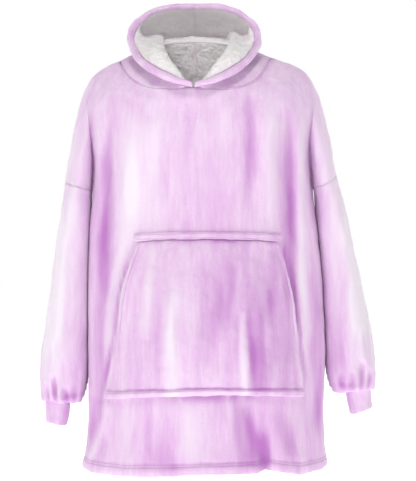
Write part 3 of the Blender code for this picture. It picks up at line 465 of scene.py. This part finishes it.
def lean(piece, sign, towards):
    """Flattens a flank where arm and body lie against each other. The flank looks to sign, and
    towards is 1 where it is the piece's outer side and -1 where it is the inner side."""
    places = read_places(piece.data)
    edge = level_edges(places, sign * towards) * towards
    short = (edge - places[:, 0] * sign) * towards
    near = np.exp(-((places[:, 1] / FLANK_DEPTH) ** 4))
    near *= np.clip(1.4 - short / FLANK_REACH, 0.0, 1.0)
    below_arm = np.clip((FLANK_TOP - places[:, 2]) / FLANK_TOP_EASING, 0.0, 1.0)
    above_hem = np.clip((places[:, 2] - FLANK_BOTTOM) / FLANK_BOTTOM_EASING, 0.0, 1.0)
    moved = (short * FLANK_SHARE + FLANK_PRESS) * near * below_arm * above_hem
    places[:, 0] += sign * towards * moved
    write_places(piece.data, places)


def hem_rise(x, y, z):
    """How much higher the wavy hem lies than a level one."""
    reach = np.clip((HEM_WAVE_TOP - z) / HEM_WAVE_HEIGHT, 0.0, 1.0) ** 1.5
    ahead = np.interp(x, HEM_PLACES, HEM_RISES) * np.clip(-y / HEM_SIDE_EASING, 0.0, 1.0)
    behind = BACK_HEM_WAVE * np.sin(x * BACK_HEM_TURNS + BACK_HEM_START)
    return (ahead + behind * np.clip(y / HEM_SIDE_EASING, 0.0, 1.0)) * reach


def wave_hem(piece):
    places = read_places(piece.data)
    places[:, 2] += hem_rise(*places.T)
    write_places(piece.data, places)


HEM_ROUNDED_BELOW = -0.80
SIDE_SEAM_WIDTH = 0.001
ARM_LOWEST = -0.29
ARM_INNER = 0.19


def body_seam(place):
    """Cut edges that meet another piece: all but the hem."""
    return place.z > HEM_ROUNDED_BELOW or abs(place.y) < SIDE_SEAM_WIDTH


def body_lined(place, normal):
    """Inner faces of the body, away from the arms, whose folds look every way."""
    if place.z > ARM_LOWEST and abs(place.x) > ARM_INNER:
        return False
    return normal.x * -place.x + normal.y * -place.y > 0


SEAM_RADIUS = 0.0026
SEAM_POINTS = 60
SEAM_PAINTED_SHADE = 0.30
NECK_CENTRE = (-0.0185, 0.0)
NECK_REACH = 0.168
NECK_LOWEST = -0.072
NECK_BACK_START = 0.01
NECK_BACK_EASING = 0.04
MIDDLE_LINE_WIDTH = 0.0008
SIDE_SEAM_INNER = 0.2
SIDE_SEAM_TOP = -0.276
NECK_ROLL_OUT = 0.0025
NECK_ROLL_IN = 0.0015
ARMHOLE_CENTRES = {"left": (-0.262, 0.0), "right": (0.258, 0.0)}


def rim_places(node, keep):
    """Corners of a CAD node's cut edges where keep(place) is true."""
    shell = bmesh.new()
    shell.from_mesh(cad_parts[node].data)
    bmesh.ops.remove_doubles(shell, verts=shell.verts, dist=MERGE_DISTANCE)
    found = set()
    for edge in shell.edges:
        if edge.is_manifold and edge.calc_face_angle() > SQUARE_ANGLE:
            found.update(tuple(corner.co) for corner in edge.verts if keep(corner.co))
    shell.free()
    return [Vector(place) for place in found]


def seam_roll(name, places, order, closed, cloth=plush):
    """The turned-in seam allowance that fills a seam: a soft roll along its middle line, with an
    even painted shade.
    """
    places = sorted(places, key=order)
    count = len(places)
    reach = 3
    line = []
    for step in range(SEAM_POINTS):
        at = int(step * (count if closed else count - 1) / SEAM_POINTS)
        near = [(at + shift) % count if closed else min(max(at + shift, 0), count - 1)
                for shift in range(-reach, reach + 1)]
        line.append(sum((places[index] for index in near), Vector()) / len(near))
    curve = bpy.data.curves.new(name, "CURVE")
    curve.dimensions = "3D"
    curve.bevel_depth = SEAM_RADIUS
    curve.bevel_resolution = 2
    curve.use_fill_caps = True
    spline = curve.splines.new("NURBS")
    spline.points.add(len(line) - 1)
    for point, place in zip(spline.points, line):
        point.co = (*place, 1.0)
    spline.order_u = 4
    spline.use_cyclic_u = closed
    spline.use_endpoint_u = not closed
    roll = bpy.data.objects.new(name, curve)
    bpy.context.scene.collection.objects.link(roll)
    bpy.ops.object.select_all(action="DESELECT")
    roll.select_set(True)
    bpy.context.view_layer.objects.active = roll
    bpy.ops.object.convert(target="MESH")
    roll = bpy.context.object
    roll.data.materials.append(cloth)
    # Each roll gets an even painted shade.
    tint = np.full(len(roll.data.vertices), SEAM_PAINTED_SHADE, dtype=np.float32)
    roll.data.attributes.new("painted_shade_and_highlight", "FLOAT", "POINT").data.foreach_set("value", tint)
    bpy.ops.object.shade_smooth()
    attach(roll, "root")
    return roll


def turn_about(centre):
    """An order for places round a centre."""
    return lambda place: math.atan2(place.y - centre[1], place.x - centre[0])


def at_neck(place):
    """Cut edges round the neck opening."""
    return abs(place.x - NECK_CENTRE[0]) < NECK_REACH and place.z > NECK_LOWEST


def on_middle_line(place):
    """Cut edges on the plane between front and back."""
    return abs(place.y) < MIDDLE_LINE_WIDTH


def moved_out(place, distance):
    """A place at the back of the neck moved away from the neck's middle."""
    middle = Vector((*NECK_CENTRE, place.z))
    share = min(max((place.y + NECK_BACK_START) / NECK_BACK_EASING, 0.0), 1.0)
    return place + (place - middle).normalized() * distance * share


neck_places = rim_places("front", at_neck) + rim_places("back", at_neck)
outer_places = [moved_out(place, NECK_ROLL_OUT) for place in neck_places]
neck_seam = seam_roll("neck_seam", outer_places, turn_about(NECK_CENTRE), True)
inner_places = [moved_out(place, -NECK_ROLL_IN) for place in neck_places
                if place.y > NECK_BACK_START]
neck_seam_inside = seam_roll("neck_seam_inside", inner_places, turn_about(NECK_CENTRE), False,
                             sherpa)
for side, sign in (("left", -1), ("right", 1)):
    upright = rim_places("front", lambda place: on_middle_line(place)
                         and place.x * sign > SIDE_SEAM_INNER and place.z < SIDE_SEAM_TOP)
    seam_roll(f"side_seam_{side}", upright, lambda place: place.z, False)

FRONT_CREASES = [
    Crease(-0.193, -0.125, -0.199, -0.560, 0.004, 0.011, -0.0065),
    Crease(-0.168, -0.150, -0.166, -0.420, 0.003, 0.014, 0.0030),
    Crease(0.096, -0.070, 0.090, -0.320, -0.004, 0.012, -0.0050),
    Crease(0.135, -0.090, 0.138, -0.340, 0.003, 0.014, 0.0040),
    Crease(0.173, -0.110, 0.182, -0.560, -0.004, 0.011, -0.0075),
    Crease(0.200, -0.130, 0.208, -0.520, 0.003, 0.012, 0.0040),
    Crease(0.075, -0.696, 0.123, -0.852, -0.006, 0.011, -0.0100),
    Crease(0.045, -0.700, 0.075, -0.852, -0.004, 0.016, 0.0040),
    Crease(-0.195, -0.690, -0.246, -0.850, -0.010, 0.007, 0.0060),
    Crease(-0.212, -0.695, -0.248, -0.820, -0.008, 0.008, -0.0050),
    Crease(-0.180, -0.705, -0.222, -0.850, -0.008, 0.010, -0.0030),
    Crease(0.126, -0.745, 0.129, -0.905, 0.000, 0.008, -0.0100),
    Crease(0.107, -0.745, 0.108, -0.905, 0.000, 0.009, 0.0050),
    Crease(-0.235, -0.7040, 0.240, -0.6990, -0.009, 0.005, -0.0035),
    Crease(-0.085, -0.715, -0.080, -0.850, 0.003, 0.016, -0.0035),
    Crease(0.165, -0.705, 0.190, -0.850, 0.003, 0.014, -0.0035),
    Crease(-0.150, -0.080, -0.100, -0.135, 0.003, 0.012, -0.0030),
    Crease(0.120, -0.070, 0.060, -0.130, -0.003, 0.012, -0.0030),
    Crease(-0.060, -0.150, -0.075, -0.350, 0.004, 0.016, -0.0022),
    Crease(0.030, -0.160, 0.040, -0.345, -0.004, 0.016, -0.0020),
    Crease(-0.215, -0.300, -0.222, -0.660, 0.003, 0.010, 0.0030),
    Crease(0.225, -0.560, 0.232, -0.800, 0.003, 0.012, -0.0040),
    Crease(-0.139, -0.374, -0.180, -0.575, 0.0085, 0.005, -0.0060),
    Crease(-0.178, -0.545, -0.206, -0.705, 0.000, 0.005, -0.0040),
    Crease(0.159, -0.374, 0.198, -0.580, -0.0085, 0.005, -0.0060),
    Crease(0.196, -0.550, 0.213, -0.700, 0.000, 0.005, -0.0040),
    Crease(-0.400, -0.8285, 0.400, -0.8285, 0.000, 0.0030, -0.0018),
    Crease(-0.400, -0.8225, 0.400, -0.8225, 0.000, 0.0025, -0.0014),
]
BACK_CREASES = [
    Crease(-0.168, -0.130, -0.182, -0.560, 0.004, 0.012, -0.0065),
    Crease(-0.120, -0.150, -0.118, -0.420, -0.004, 0.014, 0.0035),
    Crease(0.162, -0.110, 0.174, -0.590, -0.004, 0.012, -0.0070),
    Crease(0.110, -0.160, 0.102, -0.440, 0.004, 0.014, 0.0035),
    Crease(-0.020, -0.130, -0.055, -0.420, 0.006, 0.014, -0.0035),
    Crease(0.040, -0.300, 0.075, -0.860, -0.006, 0.014, -0.0070),
    Crease(-0.050, -0.480, -0.058, -0.860, 0.005, 0.016, 0.0045),
    Crease(-0.125, -0.520, -0.140, -0.860, 0.004, 0.012, -0.0065),
    Crease(0.145, -0.600, 0.165, -0.860, 0.004, 0.016, 0.0050),
    Crease(0.195, -0.520, 0.212, -0.860, -0.003, 0.012, -0.0040),
    Crease(-0.195, -0.400, -0.215, -0.850, 0.003, 0.012, 0.0035),
    Crease(-0.400, -0.8285, 0.400, -0.8285, 0.000, 0.0030, -0.0018),
    Crease(-0.400, -0.8225, 0.400, -0.8225, 0.000, 0.0025, -0.0014),
]
# Bands of painted shade and painted highlight on the front: along the creases, down the flanks
# where arm and body meet, outside the pocket openings and under the pocket's hem.
FRONT_LIGHT_BANDS = [
    LightBand(-0.193, -0.082, -0.197, -0.565, 0.000, 0.014, 0.36),
    LightBand(-0.213, -0.193, -0.211, -0.837, 0.000, 0.012, 0.30),
    LightBand(-0.145, -0.112, -0.151, -0.430, 0.000, 0.017, -0.65),
    LightBand(-0.106, -0.082, -0.110, -0.394, 0.000, 0.040, -0.45),
    LightBand(0.096, -0.062, 0.089, -0.338, 0.000, 0.018, 0.20),
    LightBand(0.135, -0.068, 0.139, -0.370, 0.000, 0.012, -0.40),
    LightBand(0.172, -0.102, 0.178, -0.585, 0.000, 0.014, 0.45),
    LightBand(0.198, -0.128, 0.204, -0.535, 0.000, 0.011, -0.50),
    LightBand(0.220, -0.193, 0.232, -0.817, 0.000, 0.012, 0.35),
    LightBand(0.023, -0.116, 0.023, -0.358, 0.000, 0.035, -0.15),
    LightBand(-0.150, -0.350, -0.196, -0.590, 0.009, 0.009, -0.60),
    LightBand(0.170, -0.350, 0.214, -0.590, -0.009, 0.009, -0.50),
    LightBand(-0.026, -0.692, -0.026, -0.833, 0.000, 0.024, -0.60),
    LightBand(0.122, -0.680, 0.126, -0.900, 0.004, 0.012, 0.38),
    LightBand(0.080, -0.670, 0.084, -0.880, 0.000, 0.034, 0.40),
    LightBand(0.170, -0.670, 0.170, -0.880, 0.000, 0.040, 0.42),
    LightBand(-0.120, -0.790, -0.040, -0.830, 0.000, 0.020, 0.25),
    LightBand(-0.207, -0.686, -0.201, -0.837, 0.000, 0.010, 0.35),
    LightBand(0.200, -0.688, 0.196, -0.837, 0.000, 0.010, -0.25),
    LightBand(-0.161, -0.692, -0.165, -0.833, 0.000, 0.020, -0.40),
    LightBand(-0.106, -0.692, -0.106, -0.833, 0.000, 0.008, 0.20),
    LightBand(-0.207, -0.495, -0.207, -0.756, 0.000, 0.012, 0.30),
    LightBand(0.232, -0.495, 0.236, -0.777, 0.000, 0.010, 0.30),
    LightBand(-0.1365, -0.372, -0.1785, -0.575, 0.0085, 0.0060, 0.70),
    LightBand(-0.1770, -0.540, -0.2050, -0.710, 0.000, 0.0055, 0.60),
    LightBand(0.1565, -0.372, 0.1960, -0.580, -0.0085, 0.0060, 0.70),
    LightBand(0.1945, -0.545, 0.2120, -0.706, 0.000, 0.0055, 0.60),
    LightBand(-0.235, -0.250, -0.240, -0.800, 0.000, 0.008, 0.25),
    LightBand(0.232, -0.250, 0.254, -0.800, -0.006, 0.008, 0.25),
    LightBand(-0.228, -0.110, -0.230, -0.310, 0.000, 0.006, 0.40),
    LightBand(0.223, -0.110, 0.231, -0.310, 0.000, 0.006, 0.40),
    LightBand(-0.195, -0.690, -0.246, -0.850, -0.010, 0.006, -0.65),
    LightBand(-0.216, -0.690, -0.248, -0.815, -0.008, 0.010, 0.45),
    LightBand(-0.235, -0.7030, 0.240, -0.6980, -0.009, 0.0050, 0.75),
    LightBand(-0.300, -0.8285, 0.300, -0.8285, 0.000, 0.0020, 0.35),
    LightBand(-0.300, -0.8225, 0.300, -0.8225, 0.000, 0.0020, 0.30),
    LightBand(-0.262, -0.090, -0.290, -0.340, 0.002, 0.026, -0.40),
    LightBand(0.252, -0.090, 0.280, -0.330, -0.002, 0.026, -0.45),
]
# Bands of painted shade and painted highlight on the back, along its creases and flanks.
BACK_LIGHT_BANDS = [
    LightBand(-0.168, -0.120, -0.182, -0.560, 0.004, 0.011, 0.50),
    LightBand(0.162, -0.100, 0.174, -0.590, -0.004, 0.011, 0.50),
    LightBand(-0.118, -0.130, -0.118, -0.440, -0.004, 0.016, -0.50),
    LightBand(0.108, -0.150, 0.100, -0.460, 0.004, 0.018, -0.50),
    LightBand(0.058, -0.400, 0.075, -0.850, -0.006, 0.013, 0.55),
    LightBand(-0.054, -0.470, -0.058, -0.850, 0.005, 0.018, -0.55),
    LightBand(-0.130, -0.530, -0.140, -0.850, 0.004, 0.012, 0.50),
    LightBand(0.155, -0.600, 0.165, -0.850, 0.004, 0.018, -0.40),
    LightBand(-0.200, -0.400, -0.215, -0.850, 0.003, 0.014, -0.30),
    LightBand(-0.235, -0.250, -0.240, -0.845, 0.000, 0.008, 0.25),
    LightBand(0.232, -0.250, 0.254, -0.845, -0.006, 0.008, 0.25),
    LightBand(-0.262, -0.090, -0.290, -0.340, 0.002, 0.026, -0.40),
    LightBand(0.252, -0.090, 0.280, -0.330, -0.002, 0.026, -0.45),
]
front = cloth_copy("front", 2, body_seam, body_lined)
press(front, FRONT_CREASES, facing=-1, light_bands=FRONT_LIGHT_BANDS)
back = cloth_copy("back", 2, body_seam, body_lined)
press(back, BACK_CREASES, facing=1, light_bands=BACK_LIGHT_BANDS)
for panel in (front, back):
    lean(panel, -1, 1)
    lean(panel, 1, 1)
    wave_hem(panel)

# Sleeves and cuffs: wide plush tubes that end in a puff gathered into a narrow ribless cuff of
# the same plush, turned up and stitched. Long soft creases run down each sleeve.
SLEEVE_CREASES = {
    "left": [
        Crease(-0.262, -0.330, -0.282, -0.600, 0.006, 0.010, -0.0040),
        Crease(-0.285, -0.300, -0.305, -0.520, -0.004, 0.012, 0.0030),
        Crease(-0.330, -0.540, -0.318, -0.690, 0.004, 0.010, -0.0035),
        Crease(-0.300, -0.560, -0.305, -0.700, 0.003, 0.009, -0.0030),
        Crease(-0.275, -0.600, -0.285, -0.700, 0.003, 0.008, -0.0025),
        Crease(-0.306, -0.650, -0.303, -0.722, 0.000, 0.0065, -0.0150),
        Crease(-0.324, -0.665, -0.318, -0.722, 0.000, 0.0060, -0.0100),
        Crease(-0.284, -0.672, -0.288, -0.722, 0.000, 0.0060, -0.0100),
        Crease(-0.266, -0.668, -0.276, -0.720, 0.000, 0.0060, -0.0080),
        Crease(-0.295, -0.670, -0.295, -0.722, 0.000, 0.0060, 0.0040),
    ],
    "right": [
        Crease(0.264, -0.320, 0.296, -0.590, -0.006, 0.010, -0.0040),
        Crease(0.285, -0.290, 0.320, -0.510, 0.004, 0.012, 0.0030),
        Crease(0.350, -0.520, 0.338, -0.670, -0.004, 0.010, -0.0035),
        Crease(0.318, -0.540, 0.322, -0.680, 0.003, 0.009, -0.0030),
        Crease(0.290, -0.580, 0.300, -0.670, 0.003, 0.008, -0.0025),
        Crease(0.328, -0.620, 0.325, -0.694, 0.000, 0.0065, -0.0140),
        Crease(0.346, -0.635, 0.340, -0.692, 0.000, 0.0060, -0.0100),
        Crease(0.306, -0.642, 0.310, -0.698, 0.000, 0.0060, -0.0110),
        Crease(0.288, -0.645, 0.298, -0.694, 0.000, 0.0060, -0.0080),
        Crease(0.317, -0.640, 0.317, -0.696, 0.000, 0.0060, 0.0040),
    ],
}
# Bands of painted highlight down each sleeve's outer side and painted shade along its inner side,
# creases and puff.
SLEEVE_LIGHT_BANDS = {
    "left": [
        LightBand(-0.272, -0.200, -0.320, -0.690, 0.004, 0.036, -0.95),
        LightBand(-0.296, -0.395, -0.329, -0.701, 0.000, 0.022, -0.50),
        LightBand(-0.236, -0.200, -0.240, -0.660, 0.000, 0.009, 0.35),
        LightBand(-0.308, -0.535, -0.318, -0.680, 0.000, 0.005, 0.55),
        LightBand(-0.250, -0.539, -0.262, -0.701, 0.000, 0.012, 0.45),
        LightBand(-0.300, -0.700, -0.250, -0.690, 0.000, 0.008, 0.35),
    ],
    "right": [
        LightBand(0.272, -0.200, 0.345, -0.670, -0.004, 0.034, -0.95),
        LightBand(0.308, -0.353, 0.350, -0.663, 0.000, 0.022, -0.50),
        LightBand(0.234, -0.200, 0.257, -0.650, 0.003, 0.009, 0.35),
        LightBand(0.325, -0.523, 0.341, -0.647, 0.000, 0.005, 0.55),
        LightBand(0.271, -0.519, 0.288, -0.668, 0.000, 0.014, 0.45),
        LightBand(0.275, -0.670, 0.330, -0.680, 0.000, 0.008, 0.35),
    ],
}
SLEEVE_MIDDLES = {
    "left": ([-0.76, -0.65, -0.45, -0.28], [-0.307, -0.290, -0.280, -0.262]),
    "right": ([-0.74, -0.63, -0.45, -0.27], [0.331, 0.313, 0.292, 0.258]),
}
PUFF_TOP = {"left": -0.655, "right": -0.625}
ARMHOLE_LOWEST = -0.33


def sleeve_lined(side, lowest=None):
    """Inner faces of a sleeve or cuff. Below the lowest height all faces are plush."""
    heights, places = SLEEVE_MIDDLES[side]

    def lined(place, normal):
        middle = float(np.interp(place.z, heights, places))
        if lowest is not None and place.z < lowest:
            return False
        return normal.x * (middle - place.x) - normal.y * place.y > 0
    return lined


def armhole_seam(place):
    """Cut edges where the sleeve meets the body."""
    return place.z > ARMHOLE_LOWEST


for side in ("left", "right"):
    sleeve = cloth_copy(f"sleeve_{side}", 3, armhole_seam, sleeve_lined(side, PUFF_TOP[side]))
    press(sleeve, SLEEVE_CREASES[side], facing=-1, light_bands=SLEEVE_LIGHT_BANDS[side])
    lean(sleeve, -1 if side == "left" else 1, -1)
    opening = rim_places(f"sleeve_{side}", armhole_seam)
    arm_seam = seam_roll(f"armhole_seam_{side}", opening, turn_about(ARMHOLE_CENTRES[side]), True)
    cuff = cloth_copy(f"cuff_{side}", 3, None, sleeve_lined(side))
    press(cuff, [], facing=-1)

# Hood: two halves of plush outside and two of curly sherpa inside, sewn down the middle, fallen
# open over the shoulders, with a soft rolled hem of plush round the edge.
CURL_SIZE = 0.0075
CURL_HEIGHT = 0.0036
CURL_LEVEL = 0.35
CURL_FINE = 330.0
CURL_FINE_SHARE = 0.35
CURL_COARSE = 75.0
CURL_COARSE_SHARE = 0.5
CURL_SHADED_BELOW = 0.42
LAYER_GAP = 0.0015
LAYER_EASING = 0.0020
HOOD_MIDDLE_X = -0.0185
HOOD_SEAM_REACH = 0.004
RIM_CLOSING = 0.0011
RIM_END_REACH = 0.012


def curl(piece, seed, against):
    """Raises the tufts of sherpa on the side of a piece that lies free of the cloth behind it, and
    paints shade between the tufts and highlight on their tops.
    """
    mesh = piece.data
    places = read_places(mesh)
    sway(places, read_normals(mesh))
    write_places(mesh, places)
    behind = BVHTree.FromObject(against, bpy.context.evaluated_depsgraph_get())
    lifted = []
    painted_shading = []
    for vertex, normal in zip(mesh.vertices, mesh.vertex_normals):
        distance = behind.find_nearest(vertex.co)[3]
        free = min(max((distance - LAYER_GAP) / LAYER_EASING, 0.0), 1.0)
        at = vertex.co / CURL_SIZE + Vector((seed, seed * 0.7, 0.0))
        near = noise.voronoi(at)[0]
        tuft = (1.0 - min(near[0], 1.0)) * 0.9
        tuft += CURL_FINE_SHARE * noise.noise(vertex.co * CURL_FINE)
        tuft += CURL_COARSE_SHARE * noise.noise(vertex.co * CURL_COARSE)
        lifted.append(vertex.co + normal.vector * (tuft - CURL_LEVEL) * CURL_HEIGHT * free)
        # Painted shade between the tufts and painted highlight on their tops.
        painted_shading.append(min(max((CURL_SHADED_BELOW - tuft) * 0.9, -0.6), 0.8))
    for vertex, place in zip(mesh.vertices, lifted):
        vertex.co = place
    write_painted_light(mesh, np.array(painted_shading))
    mesh.update()


def hood_seam(place):
    """The seam down the middle of the hood."""
    return abs(place.x - HOOD_MIDDLE_X) < HOOD_SEAM_REACH


def close_up(rim):
    """Brings the end faces of a rim half against those of the other half."""
    for vertex in rim.data.vertices:
        away = vertex.co.x - HOOD_MIDDLE_X
        vertex.co.x -= math.copysign(RIM_CLOSING, away) * math.exp(-((away / RIM_END_REACH) ** 2))
    rim.data.update()


for number, side in enumerate(("left", "right")):
    outside = cloth_copy(f"hood_{side}", 2, lambda place: True)
    press(outside, [], facing=1)
    inside = cloth_copy(f"hood_lining_{side}", 3, hood_seam)
    inside.data.materials.clear()
    inside.data.materials.append(sherpa)
    curl(inside, 4.0 + number, outside)
    rim = cloth_copy(f"hood_rim_{side}", 3, hood_seam)
    press(rim, [], facing=-1)
    close_up(rim)

# Lining of the upper back: two halves of the same curly sherpa, seen through the open neck,
# joined by an upright seam.
for number, side in enumerate(("left", "right")):
    lining = cloth_copy(f"back_lining_{side}", 4)
    lining.data.materials.clear()
    lining.data.materials.append(sherpa)
    curl(lining, 12.0 + number, back)

# Pocket: one plush patch laid on the front, open at both slanted sides, with a turned and
# stitched hem below and a proud stitched band across its top.
POCKET_CREASES = [
    Crease(-0.130, -0.376, -0.171, -0.570, 0.0085, 0.0045, 0.0032),
    Crease(-0.170, -0.550, -0.197, -0.700, 0.000, 0.0045, 0.0015),
    Crease(-0.121, -0.378, -0.162, -0.570, 0.0085, 0.0035, -0.0022),
    Crease(0.150, -0.376, 0.188, -0.575, -0.0085, 0.0045, 0.0032),
    Crease(0.187, -0.555, 0.204, -0.695, 0.000, 0.0045, 0.0015),
    Crease(0.141, -0.378, 0.179, -0.575, -0.0085, 0.0035, -0.0022),
    Crease(-0.240, -0.6815, 0.245, -0.6765, -0.0095, 0.0030, -0.0028),
    Crease(-0.063, -0.470, -0.066, -0.690, 0.003, 0.009, 0.0035),
    Crease(-0.045, -0.500, -0.048, -0.690, 0.003, 0.009, -0.0030),
    Crease(0.082, -0.540, 0.088, -0.690, 0.003, 0.008, 0.0030),
    Crease(0.101, -0.560, 0.106, -0.690, 0.003, 0.008, -0.0060),
    Crease(-0.130, -0.395, -0.165, -0.560, 0.006, 0.010, 0.0030),
    Crease(-0.110, -0.400, -0.135, -0.560, 0.006, 0.012, -0.0025),
    Crease(0.140, -0.400, 0.172, -0.560, -0.006, 0.010, 0.0030),
    Crease(0.118, -0.400, 0.140, -0.550, -0.006, 0.012, -0.0030),
    Crease(0.020, -0.395, 0.030, -0.540, 0.004, 0.018, -0.0022),
]
# Bands of painted shade and painted highlight on the pocket: along its folds and openings, under
# its top band and at its hem.
POCKET_LIGHT_BANDS = [
    LightBand(-0.060, -0.400, -0.054, -0.750, 0.002, 0.019, -0.80),
    LightBand(-0.101, -0.384, -0.121, -0.573, 0.000, 0.028, -0.45),
    LightBand(-0.087, -0.463, -0.093, -0.696, 0.002, 0.008, 0.25),
    LightBand(-0.149, -0.533, -0.161, -0.688, 0.000, 0.012, 0.20),
    LightBand(0.078, -0.500, 0.086, -0.720, 0.000, 0.009, -0.60),
    LightBand(0.112, -0.440, 0.116, -0.710, 0.003, 0.024, 0.50),
    LightBand(0.150, -0.390, 0.172, -0.720, 0.000, 0.026, 0.50),
    LightBand(0.005, -0.394, 0.003, -0.692, 0.000, 0.020, 0.20),
    LightBand(0.070, -0.360, 0.060, -0.640, 0.000, 0.045, 0.42),
    LightBand(0.022, -0.553, 0.022, -0.692, 0.000, 0.010, -0.15),
    LightBand(-0.131, -0.374, -0.173, -0.570, 0.0085, 0.0030, -0.60),
    LightBand(0.151, -0.374, 0.190, -0.575, -0.0085, 0.0030, -0.50),
    LightBand(-0.126, -0.374, -0.168, -0.570, 0.0085, 0.0025, 0.35),
    LightBand(0.146, -0.374, 0.185, -0.575, -0.0085, 0.0025, 0.35),
    LightBand(-0.160, -0.3785, 0.185, -0.3785, 0.000, 0.0050, 0.60),
    LightBand(-0.240, -0.6820, 0.245, -0.6770, -0.0095, 0.0025, 0.45),
    LightBand(-0.240, -0.6920, 0.245, -0.6870, -0.0095, 0.0040, -0.30),
]
POCKET_TOP_Z = -0.3765
TOP_ARCH = 0.0035
TOP_LEFT = -0.144
TOP_WIDTH = 0.305
TOP_EASING = 0.05


def arch_top(piece, height):
    """Raises the middle of the pocket's top edge. The rise fades out downwards from a height."""
    for vertex in piece.data.vertices:
        across = min(max((vertex.co.x - TOP_LEFT) / TOP_WIDTH, 0.0), 1.0)
        near = min(max((vertex.co.z - height) / TOP_EASING + 1.0, 0.0), 1.0)
        vertex.co.z += TOP_ARCH * math.sin(math.pi * across) * near
    piece.data.update()


pocket = cloth_copy("pocket", 3)
press(pocket, POCKET_CREASES, facing=-1, light_bands=POCKET_LIGHT_BANDS)
arch_top(pocket, POCKET_TOP_Z)
band = cloth_copy("pocket_top_band", 3)
press(band, [], facing=-1)
arch_top(band, POCKET_TOP_Z)

# Stitching: rows of short thread dashes sunk a little into the pile, two rows round the hem,
# two along the pocket's hem, two on the band and one down each pocket opening.
THREAD_RADIUS = 0.0007
STITCH_LENGTH = 0.0030
STITCH_PITCH = 0.0044
STITCH_SIDES = 5
STITCH_RINGS = ((0.0, 0.45), (0.3, 1.0), (0.7, 1.0), (1.0, 0.45))
RAY_START = 0.6
thread = bpy.data.materials.new("thread")
thread.use_nodes = True
thread_shader = thread.node_tree.nodes["Principled BSDF"]
thread_shader.inputs["Base Color"].default_value = (*PLUSH_THREAD, 1.0)
thread_shader.inputs["Roughness"].default_value = 0.75
thread_shader.inputs["Specular IOR Level"].default_value = 0.2


def stitch_row(name, piece, line, facing):
    """Dashes of thread along a line of (x, z) places, on the side of a piece that facing names."""
    tree = BVHTree.FromObject(piece, bpy.context.evaluated_depsgraph_get())
    path = []
    for x, z in line:
        start = Vector((x, facing * RAY_START, z))
        place, normal, _, _ = tree.ray_cast(start, Vector((0.0, -facing, 0.0)))
        if place is not None:
            path.append((place, normal))
    corners, faces = [], []
    ahead = 0.0
    for (place, normal), (after, _) in zip(path, path[1:]):
        step = (after - place).length
        if step > 4 * STITCH_PITCH or step < 1e-7:
            continue
        along = (after - place) / step
        side = along.cross(normal).normalized()
        while ahead < step:
            start = place + along * ahead
            first = len(corners)
            for share, swell in STITCH_RINGS:
                middle = start + along * STITCH_LENGTH * share
                for corner in range(STITCH_SIDES):
                    turn = 2 * math.pi * corner / STITCH_SIDES
                    out = side * math.cos(turn) + normal * math.sin(turn)
                    corners.append(middle + out * THREAD_RADIUS * swell)
            for ring in range(len(STITCH_RINGS) - 1):
                for corner in range(STITCH_SIDES):
                    near = first + ring * STITCH_SIDES
                    following = (corner + 1) % STITCH_SIDES
                    faces.append((near + corner, near + following,
                                  near + STITCH_SIDES + following, near + STITCH_SIDES + corner))
            faces.append(tuple(first + corner for corner in reversed(range(STITCH_SIDES))))
            last = first + (len(STITCH_RINGS) - 1) * STITCH_SIDES
            faces.append(tuple(last + corner for corner in range(STITCH_SIDES)))
            ahead += STITCH_PITCH
        ahead -= step
    mesh = bpy.data.meshes.new(name)
    mesh.from_pydata(corners, [], faces)
    mesh.materials.append(thread)
    row = bpy.data.objects.new(name, mesh)
    bpy.context.scene.collection.objects.link(row)
    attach(row, "root")


def level_line(x0, x1, z0, z1, arch, count=90):
    """Places from side to side, spaced closer at the ends, with a rise in the middle."""
    places = []
    for step in range(count + 1):
        share = 0.5 - 0.5 * math.cos(math.pi * step / count)
        places.append((x0 + (x1 - x0) * share,
                       z0 + (z1 - z0) * share + arch * math.sin(math.pi * share)))
    return places


HEM_ROWS = (-0.8300, -0.8245)
for number, height in enumerate(HEM_ROWS):
    level = level_line(-0.2500, 0.2560, height, height, 0.0)
    for name, panel, facing in (("front", front, -1), ("back", back, 1)):
        wavy = [(x, z + float(hem_rise(x, facing * 0.1, z))) for x, z in level]
        stitch_row(f"hem_stitches_{name}_{number}", panel, wavy, facing)
stitch_row("pocket_hem_stitches_0", pocket, level_line(-0.195, 0.203, -0.6815, -0.6765, 0.0090), -1)
stitch_row("pocket_hem_stitches_1", pocket, level_line(-0.196, 0.204, -0.6855, -0.6805, 0.0090), -1)
stitch_row("band_stitches_0", band, level_line(-0.134, 0.154, -0.3645, -0.3645, TOP_ARCH), -1)
stitch_row("band_stitches_1", band, level_line(-0.134, 0.154, -0.3730, -0.3730, TOP_ARCH), -1)
OPENING_ROWS = {
    "left": [(-0.126, -0.384), (-0.150, -0.449), (-0.163, -0.509), (-0.1665, -0.560)],
    "right": [(0.146, -0.384), (0.165, -0.4435), (0.178, -0.489), (0.184, -0.566)],
}
for side, corners in OPENING_ROWS.items():
    across, heights = zip(*corners)
    fine = np.linspace(heights[0], heights[-1], 40)
    down = [(float(np.interp(-z, [-h for h in heights], across)), float(z)) for z in fine]
    stitch_row(f"pocket_opening_stitches_{side}", pocket, down, -1)
